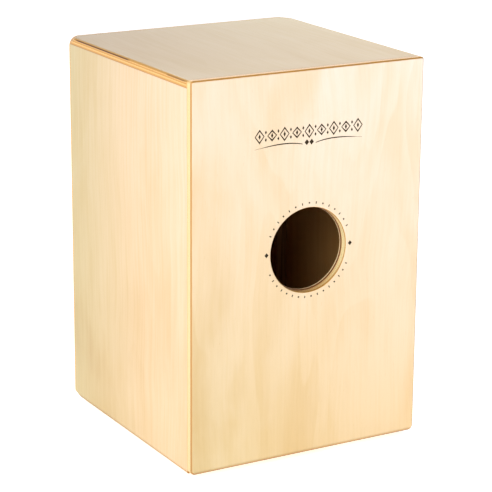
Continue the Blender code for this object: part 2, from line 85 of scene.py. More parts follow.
# Roundings of the box, as in the CAD model
SEAT_EDGE_RADIUS = 0.0035
LOWER_EDGE_RADIUS = 0.0025
BACK_TOP_CORNER = 0.0035
BACK_BOTTOM_CORNER = 0.0065
FRONT_TOP_CORNER = 0.012
FRONT_BOTTOM_CORNER = 0.007
FRONT_CORNER_RUN = 0.022
FRONT_CORNER_END = 0.0015
BACK_EDGE_ROUND = 0.003
FRONT_EDGE_ROUND = 0.001

# How finely the panels are drawn, and the hairline that shows between two of them
FRONT_CORNER_STATIONS = 24
SHARP_EDGE_ROUND = 0.0003
SECTION_STEP = 0.0015
SEAM = 0.00006

# Sound hole
HOLE_RADIUS = 0.0492
HOLE_ROUND = 0.0015
HOLE_INNER_ROUND = 0.0006
HOLE_HEIGHT = 0.2515
HOLE_SEGMENTS = 192
HOLE_RING_RADIUS = 0.0480
HOLE_RING_ROUND = 0.0002

# Screws of the front plate
HEAD_RADIUS = 0.0036
HEAD_DEPTH = 0.0022
HEAD_RIM = 0.00025
HEAD_SINK = 0.0002
SHANK_RADIUS = 0.0014
SHANK_LENGTH = 0.0178
THREAD_RADIUS = 0.0018
THREAD_PITCH = 0.0016
POINT_LENGTH = 0.003
THREAD_STEPS = 24
THREAD_START = 0.0015
THREAD_STOP = 0.001
THREAD_HALF_FOOT = 0.25
THREAD_FOOT_SINK = 0.95
THREAD_RUN_OUT = 1 / 8
CLEARANCE = 0.0003

# Pan-head screws of the feet and snares
PAN_RADIUS = 0.0030
PAN_HEIGHT = 0.0014
PAN_SHANK_RADIUS = 0.0012
PAN_THREAD_RADIUS = 0.0015
PAN_LENGTH = 0.0118
PAN_DOME = 0.0011
PAN_CHAMFER = 0.0001

# Cross recess of every screw, narrower and shorter at its bottom
RECESS_WIDTH = 0.0009
RECESS_SPAN = 0.0036
RECESS_DEPTH = 0.0010
RECESS_BOTTOM_WIDTH = 0.75
RECESS_BOTTOM_SPAN = 0.55

# Tilt about X, in degrees, that points a screw modelled along -Z
DRIVEN_BACKWARDS = 90
DRIVEN_UPWARDS = 180

# How far the screws of one kind are turned, in degrees: the first one, and the step to each next one
FRONT_SCREW_SPINS = (0, 37)
FOOT_SCREW_SPINS = (23, 41)
SNARE_SCREW_SPINS = (31, 50)

# Rubber feet
FOOT_TOP_RADIUS = 0.0120
FOOT_FLOOR_RADIUS = 0.0105
FOOT_EDGE_ROUND = 0.0012
FOOT_BORE_RADIUS = 0.0016
FOOT_COUNTERBORE_RADIUS = 0.0042
FOOT_COUNTERBORE_DEPTH = 0.0045
FOOT_SOFT_EDGE = 0.0004
FOOT_GROOVE_PLACE = 0.0022
FOOT_GROOVE_DEPTH = 0.00035

# Fan snares
SNARE_WIRES = 10
SNARE_SPREAD = math.radians(12)
SNARE_ROOT_SPAN = 0.044
SNARE_COIL_RADIUS = 0.00088
SNARE_WIRE_RADIUS = 0.00021
SNARE_PITCH = 0.0016
SNARE_PLATE_HEIGHT = 0.016
SNARE_PLATE_THICKNESS = 0.0012
SNARE_SOLDER_OVERLAP = 0.005
SNARE_COIL_STEPS = 12
SNARE_COIL_SIDES = 5
SNARE_PLATE_HALF_WIDTH = 0.026
SNARE_PLATE_CORNER = 0.0015
SNARE_TIP_GAP = 0.0005
SOLDER_STEPS = 120
SOLDER_SIDES = 10
SOLDER_OVERHANG = 0.002
SOLDER_DROP = 0.002
SOLDER_RADIUS = 0.00105
SOLDER_LUMP = 0.0003
SOLDER_WAVE = 0.00012
SOLDER_TIP = 0.00005
SOLDER_FLATNESS = 0.75
SOLDER_TALLNESS = 1.6

# Printed ornament on the back panel
PRINT_RISE = 0.00005
FRIEZE_CENTRE = Vector((0.0015, 0.3885))
FRIEZE_WIDTH = 0.143
FRIEZE_HEIGHT = 0.0165
FRIEZE_LOZENGES = 9
FRIEZE_STROKE = 0.0011
FRIEZE_SHORTER = 0.82
FRIEZE_LOZENGE_WIDTH = 0.78
FRIEZE_CORE = (0.0030, 0.0064)
FRIEZE_SEED = (0.0026, 0.0044)
FRIEZE_SEED_OFFSET = 0.0042
RULE_HEIGHT = 0.3745
RULE_WIDTH = 0.139
RULE_GAP = 0.0085
RULE_BOW = 0.0030
RULE_STEPS = 32
RULE_HALF_TIP = 0.00012
RULE_HALF_SWELL = 0.00052
RULE_LOZENGE = (0.0058, 0.0068)
RULE_LOZENGE_OFFSET = (0.0031, 0.0016)
RING_RADIUS = 0.0548
RING_TICKS_ABOVE = 15
RING_TICKS_BELOW = 16
RING_HALF_ARC = math.radians(66)
RING_LONG_TICK = (0.00135, 0.00060)
RING_SHORT_TICK = (0.00090, 0.00090)
RING_LOZENGE = (0.0052, 0.0058)
RING_LOZENGE_RISE = 0.0010


# ---------------------------------------------------------------- small tools


def srgb(red, green, blue):
    """A screen colour, from 0 to 255, turned into the linear values that a shader takes."""
    linear = []
    for value in (red, green, blue):
        share = value / 255
        linear.append(share / 12.92 if share <= 0.04045 else ((share + 0.055) / 1.055) ** 2.4)
    return (*linear, 1.0)


def direction(azimuth, elevation):
    """The unit vector towards an azimuth and elevation in degrees; azimuth 0 is -Y and 90 is +X."""
    around = math.radians(azimuth)
    up = math.radians(elevation)
    return Vector((math.sin(around) * math.cos(up), -math.cos(around) * math.cos(up), math.sin(up)))


def arc(centre, radius, start, end, steps):
    """Points along an arc in a plane, between two angles in degrees."""
    points = []
    for step in range(steps + 1):
        angle = math.radians(start + (end - start) * step / steps)
        points.append((centre[0] + radius * math.cos(angle), centre[1] + radius * math.sin(angle)))
    return points


def round_rectangle(low, high, radii, steps=12):
    """A rectangle's outline; each corner, anticlockwise from the lower left, has its own radius."""
    corners = (
        (low[0], low[1], 1, 1, 180),
        (high[0], low[1], -1, 1, 270),
        (high[0], high[1], -1, -1, 0),
        (low[0], high[1], 1, -1, 90),
    )
    points = []
    for (x, y, inward_x, inward_y, start), radius in zip(corners, radii):
        centre = (x + inward_x * radius, y + inward_y * radius)
        points += arc(centre, radius, start, start + 90, steps)
    return points


def ring_of(shape, points):
    """New vertices at the points, in order."""
    return [shape.verts.new(point) for point in points]


def bridge(shape, first, second):
    """Quads between two rings of the same number of vertices."""
    count = len(first)
    for index in range(count):
        following = (index + 1) % count
        shape.faces.new((first[index], first[following], second[following], second[index]))


def edges_of(shape, ring):
    """The closed run of edges along a ring of vertices."""
    edges = []
    for index, vertex in enumerate(ring):
        following = ring[(index + 1) % len(ring)]
        edge = shape.edges.get((vertex, following)) or shape.edges.new((vertex, following))
        edges.append(edge)
    return edges


def close_mesh(shape, name, sharp_above=40):
    """Turn a finished bmesh into a smooth-shaded mesh with its sharp edges marked."""
    bmesh.ops.recalc_face_normals(shape, faces=shape.faces)
    mesh = bpy.data.meshes.new(name)
    shape.to_mesh(mesh)
    shape.free()
    mesh.shade_smooth()
    mesh.set_sharp_from_angle(angle=math.radians(sharp_above))
    return mesh


def add_piece(name, mesh, material, body, replaced=(), place=None):
    """Put a piece in the scene on its CAD body, in place of the CAD nodes that it stands for."""
    piece = bpy.data.objects.new(name, mesh)
    bpy.context.scene.collection.objects.link(piece)
    if place is not None:
        piece.matrix_world = place
    if not mesh.materials:
        mesh.materials.append(material)
    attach(piece, body)
    if replaced:
        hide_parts(*replaced)
    return piece


def flatten_normals(piece):
    """Let large flat faces keep their own normal where a rounding meets them."""
    weighted = piece.modifiers.new("Flat faces stay flat", "WEIGHTED_NORMAL")
    weighted.mode = "FACE_AREA"
    weighted.keep_sharp = True


def add_panel(name, mesh, material, node):
    """Put a panel of the box in the scene, in place of its CAD node."""
    panel = add_piece(name, mesh, material, "drum_body", [node])
    flatten_normals(panel)


def screw_place(head, tilt, spins, index):
    """Where a screw that is modelled along -Z goes: spun round its axis, tilted about X, then moved."""
    first, step = spins
    spun = Matrix.Rotation(math.radians(first + step * index), 4, "Z")
    tilted = Matrix.Rotation(math.radians(tilt), 4, "X")
    return Matrix.Translation(head) @ tilted @ spun


def turned_mesh(name, profile, segments, closed=False):
    """The surface that a profile of (radius, height) points sweeps round Z."""
    shape = bmesh.new()
    rings = []
    for radius, height in profile:
        if radius == 0:
            rings.append([shape.verts.new((0, 0, height))])
            continue
        angles = [2 * math.pi * index / segments for index in range(segments)]
        points = [(radius * math.cos(angle), radius * math.sin(angle), height) for angle in angles]
        rings.append(ring_of(shape, points))
    pairs = list(zip(rings, rings[1:]))
    if closed:
        pairs.append((rings[-1], rings[0]))
    for first, second in pairs:
        if len(first) == len(second):
            bridge(shape, first, second)
            continue
        tip, rim = (first, second) if len(first) == 1 else (second, first)
        for index, vertex in enumerate(rim):
            shape.faces.new((tip[0], vertex, rim[(index + 1) % segments]))
    return close_mesh(shape, name)


# ---------------------------------------------------------------- shapes


def plate_mesh(name, low, high, facing, corner_radii, edge_round, holes=()):
    """An upright plate with round corners and a rounded face outline, facing +Y or -Y.

    The corner radii are the lower and the upper one. Each hole is its (x, z) and a profile of
    (radius, depth below the face) from face to rear.
    """
    lower, upper = corner_radii
    thickness = high.y - low.y
    face = high.y if facing > 0 else low.y

    def outline(inset, depth):
        corners = round_rectangle(
            (low.x + inset, low.z + inset),
            (high.x - inset, high.z - inset),
            [radius - inset for radius in (lower, lower, upper, upper)],
        )
        return [(x, face - facing * depth, z) for x, z in corners]

    def circle(x, z, radius, depth):
        y = face - facing * depth
        angles = [2 * math.pi * index / HOLE_SEGMENTS for index in range(HOLE_SEGMENTS)]
        return [(x + radius * math.cos(angle), y, z + radius * math.sin(angle)) for angle in angles]

    shape = bmesh.new()
    rounding = arc((edge_round, edge_round), edge_round, 270, 180, 10)
    rings = [ring_of(shape, outline(inset, depth)) for inset, depth in rounding]
    rings.append(ring_of(shape, outline(0, thickness - SHARP_EDGE_ROUND)))
    rings.append(ring_of(shape, outline(SHARP_EDGE_ROUND, thickness)))
    face_edges = edges_of(shape, rings[0])
    rear_edges = edges_of(shape, rings[-1])
    for first, second in zip(rings, rings[1:]):
        bridge(shape, first, second)
    for (x, z), profile in holes:
        walls = [ring_of(shape, circle(x, z, radius, depth)) for radius, depth in profile]
        face_edges += edges_of(shape, walls[0])
        rear_edges += edges_of(shape, walls[-1])
        for first, second in zip(walls, walls[1:]):
            bridge(shape, first, second)
    for edges in (face_edges, rear_edges):
        bmesh.ops.triangle_fill(shape, use_beauty=True, use_dissolve=False, edges=edges)
    return close_mesh(shape, name)


def divided(outline, longest):
    """The same outline with its long stretches cut into shorter ones."""
    points = []
    for index, (x1, z1) in enumerate(outline):
        x2, z2 = outline[(index + 1) % len(outline)]
        parts = max(1, math.ceil(math.hypot(x2 - x1, z2 - z1) / longest))
        for part in range(parts):
            points.append((x1 + (x2 - x1) * part / parts, z1 + (z2 - z1) * part / parts))
    return points


def sanded_at_corner(x, z, fade):
    """A point of the body's section, drawn in to the round corner that was sanded at the front."""
    low, high = body_box
    full = FRONT_TOP_CORNER if z > (low.z + high.z) / 2 else FRONT_BOTTOM_CORNER
    radius = FRONT_CORNER_END + (full - FRONT_CORNER_END) * fade
    centre_x = math.copysign(high.x - radius, x)
    centre_z = high.z - radius if full == FRONT_TOP_CORNER else low.z + radius
    outward_x = (x - centre_x) * math.copysign(1, x)
    outward_z = (z - centre_z) * (1 if full == FRONT_TOP_CORNER else -1)
    reach = math.hypot(outward_x, outward_z)
    if min(outward_x, outward_z) <= 0 or reach <= radius:
        return x, z
    return centre_x + (x - centre_x) * radius / reach, centre_z + (z - centre_z) * radius / reach


def lengthwise_mesh(name, section, start, end):
    """A panel whose (x, z) section runs along Y, with the sanded front corners of the body."""
    outline = divided(section, SECTION_STEP)
    shape = bmesh.new()
    rings = []
    for station in range(FRONT_CORNER_STATIONS + 1):
        share = station / FRONT_CORNER_STATIONS
        points = [sanded_at_corner(x, z, (1 - share) ** 2) for x, z in outline]
        rings.append(ring_of(shape, [(x, start + FRONT_CORNER_RUN * share, z) for x, z in points]))
    rings.append(ring_of(shape, [(x, end, z) for x, z in outline]))
    for first, second in zip(rings, rings[1:]):
        bridge(shape, first, second)
    shape.faces.new(rings[0])
    shape.faces.new(rings[-1])
    return close_mesh(shape, name)


def sound_hole_profile(thickness):
    """A wide rounding at the face, a short straight wall, and a small rounding inside."""
    flare = arc((HOLE_RADIUS + HOLE_ROUND, HOLE_ROUND), HOLE_ROUND, 270, 180, 24)
    rear_centre = (HOLE_RADIUS + HOLE_INNER_ROUND, thickness - HOLE_INNER_ROUND)
    return flare + arc(rear_centre, HOLE_INNER_ROUND, 180, 90, 5)


def countersink_profile(thickness):
    """The hole of a front screw, a little wider than its head and shank."""
    mouth = HEAD_RADIUS + CLEARANCE
    throat = SHANK_RADIUS + 2 * CLEARANCE
    return [
        (mouth, 0),
        (mouth, HEAD_SINK + CLEARANCE),
        (throat, HEAD_DEPTH + CLEARANCE),
        (throat, thickness),
    ]


def cross_cutters(height):
    """Two crossed bars with tapered ends, sunk into a head whose top is at the given height."""
    cutters = []
    for angle in (0, 90):
        shape = bmesh.new()
        bmesh.ops.create_cube(shape, size=1.0)
        for vertex in shape.verts:
            low_end = vertex.co.z < 0
            vertex.co.x *= RECESS_SPAN * (RECESS_BOTTOM_SPAN if low_end else 1.0)
            vertex.co.y *= RECESS_WIDTH * (RECESS_BOTTOM_WIDTH if low_end else 1.0)
            vertex.co.z = height + (-RECESS_DEPTH if low_end else RECESS_DEPTH)
        turn = Matrix.Rotation(math.radians(angle), 3, "Z")
        bmesh.ops.rotate(shape, verts=shape.verts, matrix=turn)
        mesh = bpy.data.meshes.new("recess_bar")
        shape.to_mesh(mesh)
        shape.free()
        cutters.append(mesh)
    return cutters


def carved(mesh, cutters):
    """The mesh with each cutter taken out of it."""
    scene_objects = bpy.context.scene.collection.objects
    blank = bpy.data.objects.new(mesh.name, mesh)
    scene_objects.link(blank)
    tools = []
    for cutter in cutters:
        tool = bpy.data.objects.new(cutter.name, cutter)
        scene_objects.link(tool)
        tools.append(tool)
        cut = blank.modifiers.new("Recess", "BOOLEAN")
        cut.operation = "DIFFERENCE"
        cut.solver = "EXACT"
        cut.object = tool
    bpy.context.view_layer.update()
    evaluated = blank.evaluated_get(bpy.context.evaluated_depsgraph_get())
    made = bpy.data.meshes.new_from_object(evaluated)
    for thing in (blank, *tools):
        bpy.data.objects.remove(thing)
    made.shade_smooth()
    made.set_sharp_from_angle(angle=math.radians(40))
    return made


def thread_faces(shape, core_radius, crest_radius, top, bottom):
    """A ridge that winds round a shank from top to bottom and runs out at both ends."""
    turns = (top - bottom) / THREAD_PITCH
    previous = None
    for step in range(int(turns * THREAD_STEPS) + 1):
        share = step / (turns * THREAD_STEPS)
        fade = min(1.0, share / THREAD_RUN_OUT, (1 - share) / THREAD_RUN_OUT)
        angle = 2 * math.pi * step / THREAD_STEPS
        height = top + (bottom - top) * share
        crest = core_radius + (crest_radius - core_radius) * fade
        foot = core_radius * THREAD_FOOT_SINK
        points = []
        for radius, part in ((foot, THREAD_HALF_FOOT), (crest, 0.0), (foot, -THREAD_HALF_FOOT)):
            level = height + part * THREAD_PITCH
            points.append((radius * math.cos(angle), radius * math.sin(angle), level))
        section = ring_of(shape, points)
        if previous:
            for one, other in ((0, 1), (1, 2)):
                shape.faces.new((previous[one], previous[other], section[other], section[one]))
        previous = section


def with_thread(mesh, core_radius, crest_radius, top, bottom):
    """The screw blank with its thread added."""
    shape = bmesh.new()
    shape.from_mesh(mesh)
    thread_faces(shape, core_radius, crest_radius, top, bottom)
    shape.to_mesh(mesh)
    shape.free()
    mesh.shade_smooth()
    mesh.set_sharp_from_angle(angle=math.radians(40))
    return mesh


def countersunk_screw_mesh():
    """Flat head just under z = 0, cone, threaded shank and point, driven towards -Z."""
    top = -HEAD_SINK
    tip = top - SHANK_LENGTH
    edge = arc((HEAD_RADIUS - HEAD_RIM / 2, top - HEAD_RIM / 2), HEAD_RIM / 2, 90, 0, 4)
    profile = [
        (0.0, top),
        (RECESS_SPAN / 2, top),
        *edge,
        (HEAD_RADIUS, top - HEAD_RIM),
        (SHANK_RADIUS, top - HEAD_DEPTH),
        (SHANK_RADIUS, tip + POINT_LENGTH),
        (0.0, tip),
    ]
    blank = carved(turned_mesh("countersunk_screw", profile, 64), cross_cutters(top))
    start = top - HEAD_DEPTH - THREAD_START
    return with_thread(blank, SHANK_RADIUS, THREAD_RADIUS, start, tip + THREAD_STOP)


def pan_screw_mesh():
    """Domed head that stands on z = 0, threaded shank and point, driven towards -Z."""
    dome = arc((PAN_RADIUS - PAN_DOME, PAN_HEIGHT - PAN_DOME), PAN_DOME, 90, 0, 10)
    tip = -PAN_LENGTH
    profile = [
        (0.0, PAN_HEIGHT),
        *dome,
        (PAN_RADIUS, PAN_CHAMFER),
        (PAN_RADIUS - PAN_CHAMFER, 0.0),
        (PAN_SHANK_RADIUS, 0.0),
        (PAN_SHANK_RADIUS, tip + POINT_LENGTH),
        (0.0, tip),
    ]
    blank = carved(turned_mesh("pan_screw", profile, 64), cross_cutters(PAN_HEIGHT))
    return with_thread(blank, PAN_SHANK_RADIUS, PAN_THREAD_RADIUS, -THREAD_START, tip + THREAD_STOP)


def foot_mesh(height):
    """A tapered rubber foot hung below z = 0, with a moulded groove, soft edges and a counterbore."""
    floor = -height
    shoulder = floor + FOOT_COUNTERBORE_DEPTH
    slope = (FOOT_FLOOR_RADIUS - FOOT_TOP_RADIUS) / height

    def side(depth):
        return FOOT_TOP_RADIUS + slope * depth

    wall = []
    for part, shift in ((0, -2), (0.3, -1.2), (0.9, -0.5), (1, 0), (0.9, 0.5), (0.3, 1.2), (0, 2)):
        radius = side(FOOT_GROOVE_PLACE) - FOOT_GROOVE_DEPTH * part
        wall.append((radius, -FOOT_GROOVE_PLACE - FOOT_GROOVE_DEPTH * shift))
    soft = FOOT_SOFT_EDGE
    floor_centre = (FOOT_FLOOR_RADIUS - FOOT_EDGE_ROUND, floor + FOOT_EDGE_ROUND)
    top_edge = arc((FOOT_TOP_RADIUS - soft, -soft), soft, 90, 0, 5)
    floor_edge = arc(floor_centre, FOOT_EDGE_ROUND, 0, -90, 8)
    mouth = arc((FOOT_COUNTERBORE_RADIUS + soft, floor + soft), soft, 270, 180, 5)
    profile = [
        (FOOT_BORE_RADIUS, 0.0),
        *top_edge,
        *wall,
        *floor_edge,
        *mouth,
        (FOOT_COUNTERBORE_RADIUS, shoulder),
        (FOOT_BORE_RADIUS, shoulder),
    ]
    return turned_mesh("foot", profile, 96, closed=True)


def coil_points(length):
    """Vertices and quads of a straight coil spring that hangs from the origin down -Z."""
    turns = length / SNARE_PITCH
    rings = int(turns * SNARE_COIL_STEPS) + 1
    share = np.linspace(0, 1, rings)
    angle = 2 * math.pi * turns * share
    outward = np.stack([np.cos(angle), np.sin(angle), np.zeros(rings)], 1)
    slope = SNARE_PITCH / (2 * math.pi * SNARE_COIL_RADIUS)
    along = np.stack([-np.sin(angle), np.cos(angle), np.full(rings, -slope)], 1)
    along /= np.linalg.norm(along, axis=1)[:, None]
    across = np.cross(along, outward)
    centre = outward * SNARE_COIL_RADIUS
    centre[:, 2] -= length * share
    turn = 2 * math.pi * np.arange(SNARE_COIL_SIDES) / SNARE_COIL_SIDES
    cosine = np.cos(turn)[None, :, None]
    sine = np.sin(turn)[None, :, None]
    swept = cosine * outward[:, None] + sine * across[:, None]
    points = (centre[:, None] + SNARE_WIRE_RADIUS * swept).reshape(-1, 3)
    faces = []
    for ring in range(rings - 1):
        for side in range(SNARE_COIL_SIDES):
            following = (side + 1) % SNARE_COIL_SIDES
            start = ring * SNARE_COIL_SIDES
            below = start + SNARE_COIL_SIDES
            faces.append((start + side, start + following, below + following, below + side))
    return points, faces


def coils_mesh(name, middle, wire_y, root_height, length):
    """The spread fan of coil wires of one snare."""
    points, faces = coil_points(length)
    all_points = []
    all_faces = []
    for index in range(SNARE_WIRES):
        share = 2 * index / (SNARE_WIRES - 1) - 1
        tilt = np.array(Matrix.Rotation(-share * SNARE_SPREAD, 3, "Y"))
        root = np.array([middle + share * SNARE_ROOT_SPAN / 2, wire_y, root_height])
        offset = len(all_points) * len(points)
        all_points.append(points @ tilt.T + root)
        all_faces += [tuple(offset + corner for corner in face) for face in faces]
    mesh = bpy.data.meshes.new(name)
    mesh.from_pydata(np.concatenate(all_points).tolist(), [], all_faces)
    mesh.shade_smooth()
    return mesh


def snare_plate_mesh(name, low, high, hole_places):
    """A stamped plate with soft corners and two screw holes, upright and facing -Y."""
    shape = bmesh.new()
    outline = round_rectangle((low.x, low.z), (high.x, high.z), [SNARE_PLATE_CORNER] * 4, 6)
    rings = [ring_of(shape, [(x, y, z) for x, z in outline]) for y in (low.y, high.y)]
    bridge(shape, rings[0], rings[1])
    edge_sets = [edges_of(shape, ring) for ring in rings]
    for x, z in hole_places:
        circles = []
        for y in (low.y, high.y):
            circle = arc((x, z), FOOT_BORE_RADIUS, 0, 345, 23)
            circles.append(ring_of(shape, [(cx, y, cz) for cx, cz in circle]))
        bridge(shape, circles[0], circles[1])
        for edges, circle in zip(edge_sets, circles):
            edges += edges_of(shape, circle)
    for edges in edge_sets:
        bmesh.ops.triangle_fill(shape, use_beauty=True, use_dissolve=False, edges=edges)
    return close_mesh(shape, name)


def solder_mesh(name, middle, wire_y, height):
    """A lumpy fillet of solder across the roots of one fan of wires."""
    shape = bmesh.new()
    half = SNARE_ROOT_SPAN / 2 + SOLDER_OVERHANG
    rings = []
    for step in range(SOLDER_STEPS + 1):
        share = 2 * step / SOLDER_STEPS - 1
        x = middle + share * half
        wires_passed = share * half / SNARE_ROOT_SPAN * (SNARE_WIRES - 1)
        lump = abs(math.cos(math.pi * wires_passed + math.pi / 2))
        end = math.sqrt(max(0.0, 1 - abs(share) ** 12))
        wave = math.sin(17 * share + 200 * middle)
        radius = SOLDER_TIP + end * (SOLDER_RADIUS + SOLDER_LUMP * lump + SOLDER_WAVE * wave)
        ring = []
        for side in range(SOLDER_SIDES):
            angle = 2 * math.pi * side / SOLDER_SIDES
            y = wire_y + SOLDER_FLATNESS * radius * math.cos(angle)
            ring.append((x, y, height + SOLDER_TALLNESS * radius * math.sin(angle)))
        rings.append(ring_of(shape, ring))
    for first, second in zip(rings, rings[1:]):
        bridge(shape, first, second)
    shape.faces.new(rings[0])
    shape.faces.new(rings[-1])
    return close_mesh(shape, name)


# ---------------------------------------------------------------- printed ornament


def print_piece(name, polygons, plane, material):
    """Flat shapes in (x, z), a hair's breadth proud of the back panel."""
    shape = bmesh.new()
    for polygon in polygons:
        shape.faces.new(ring_of(shape, [(x, plane + PRINT_RISE, z) for x, z in polygon]))
    bmesh.ops.remove_doubles(shape, verts=shape.verts, dist=0.000001)
    bmesh.ops.recalc_face_normals(shape, faces=shape.faces)
    if shape.faces[0].normal.y < 0:
        bmesh.ops.reverse_faces(shape, faces=shape.faces)
    extruded = bmesh.ops.extrude_face_region(shape, geom=shape.faces[:], use_keep_orig=True)
    sunk = [item for item in extruded["geom"] if isinstance(item, bmesh.types.BMVert)]
    bmesh.ops.translate(shape, verts=sunk, vec=(0, -PRINT_RISE * 0.8, 0))
    mesh = close_mesh(shape, name)
    return add_piece(name, mesh, material, "drum_body")


def lozenge(x, z, width, height):
    """Corners of an upright lozenge round a middle point."""
    return [(x - width / 2, z), (x, z - height / 2), (x + width / 2, z), (x, z + height / 2)]


def lozenge_band(x, z, width, height, stroke):
    """A lozenge outline as four strips, thicker towards its upper and lower points."""
    outer = lozenge(x, z, width, height)
    inner = lozenge(x, z, width - 2.2 * stroke, height - 4.4 * stroke)
    strips = []
    for index in range(4):
        following = (index + 1) % 4
        strips.append([outer[index], outer[following], inner[following], inner[index]])
    return strips


def frieze_polygons():
    """A row of upright lozenges, each with a seed in it, and small seeds between them."""
    pitch = FRIEZE_WIDTH / FRIEZE_LOZENGES
    polygons = []
    for index in range(FRIEZE_LOZENGES):
        offset = index - (FRIEZE_LOZENGES - 1) / 2
        x = FRIEZE_CENTRE.x + offset * pitch
        height = FRIEZE_HEIGHT * (1.0 if index % 2 == 0 else FRIEZE_SHORTER)
        width = pitch * FRIEZE_LOZENGE_WIDTH
        polygons += lozenge_band(x, FRIEZE_CENTRE.y, width, height, FRIEZE_STROKE)
        polygons.append(lozenge(x, FRIEZE_CENTRE.y, *FRIEZE_CORE))
        if index < FRIEZE_LOZENGES - 1:
            for level in (-FRIEZE_SEED_OFFSET, FRIEZE_SEED_OFFSET):
                polygons.append(lozenge(x + pitch / 2, FRIEZE_CENTRE.y + level, *FRIEZE_SEED))
    return polygons


def rule_polygons():
    """Two tapered lines, slightly bowed, that meet at a pair of small lozenges."""
    polygons = []
    for side in (-1, 1):
        points = []
        for step in range(RULE_STEPS + 1):
            share = step / RULE_STEPS
            x = FRIEZE_CENTRE.x + side * (RULE_GAP + share * (RULE_WIDTH / 2 - RULE_GAP))
            z = RULE_HEIGHT + RULE_BOW * math.sin(math.pi * share ** 0.8)
            swell = math.sin(math.pi * min(1.0, share + 0.12)) ** 0.7
            half = RULE_HALF_TIP + RULE_HALF_SWELL * swell
            points.append((x, z, half))
        for (x1, z1, h1), (x2, z2, h2) in zip(points, points[1:]):
            polygons.append([(x1, z1 - h1), (x2, z2 - h2), (x2, z2 + h2), (x1, z1 + h1)])
        x = FRIEZE_CENTRE.x + side * RULE_LOZENGE_OFFSET[0]
        polygons.append(lozenge(x, RULE_HEIGHT + RULE_LOZENGE_OFFSET[1], *RULE_LOZENGE))
    return polygons


def ring_polygons():
    """Short ticks round the sound hole in two arcs, and a small lozenge at each side."""
    polygons = []
    for count, upward in ((RING_TICKS_ABOVE, 1), (RING_TICKS_BELOW, -1)):
        for index in range(count):
            angle = RING_HALF_ARC * (2 * index / (count - 1) - 1)
            outward = Vector((math.sin(angle), upward * math.cos(angle)))
            across = Vector((outward.y, -outward.x))
            centre = Vector((0, HOLE_HEIGHT)) + outward * RING_RADIUS
            long_tick = index % 2 == 0
            half_length, half_width = RING_LONG_TICK if long_tick else RING_SHORT_TICK
            reach = outward * half_length
            half = across * half_width
            corners = (-reach - half, -reach + half, reach + half, reach - half)
            polygons.append([tuple(centre + corner) for corner in corners])
    for side in (-1, 1):
        polygons.append(lozenge(side * RING_RADIUS, HOLE_HEIGHT + RING_LOZENGE_RISE, *RING_LOZENGE))
    return polygons


# ---------------------------------------------------------------- material tools


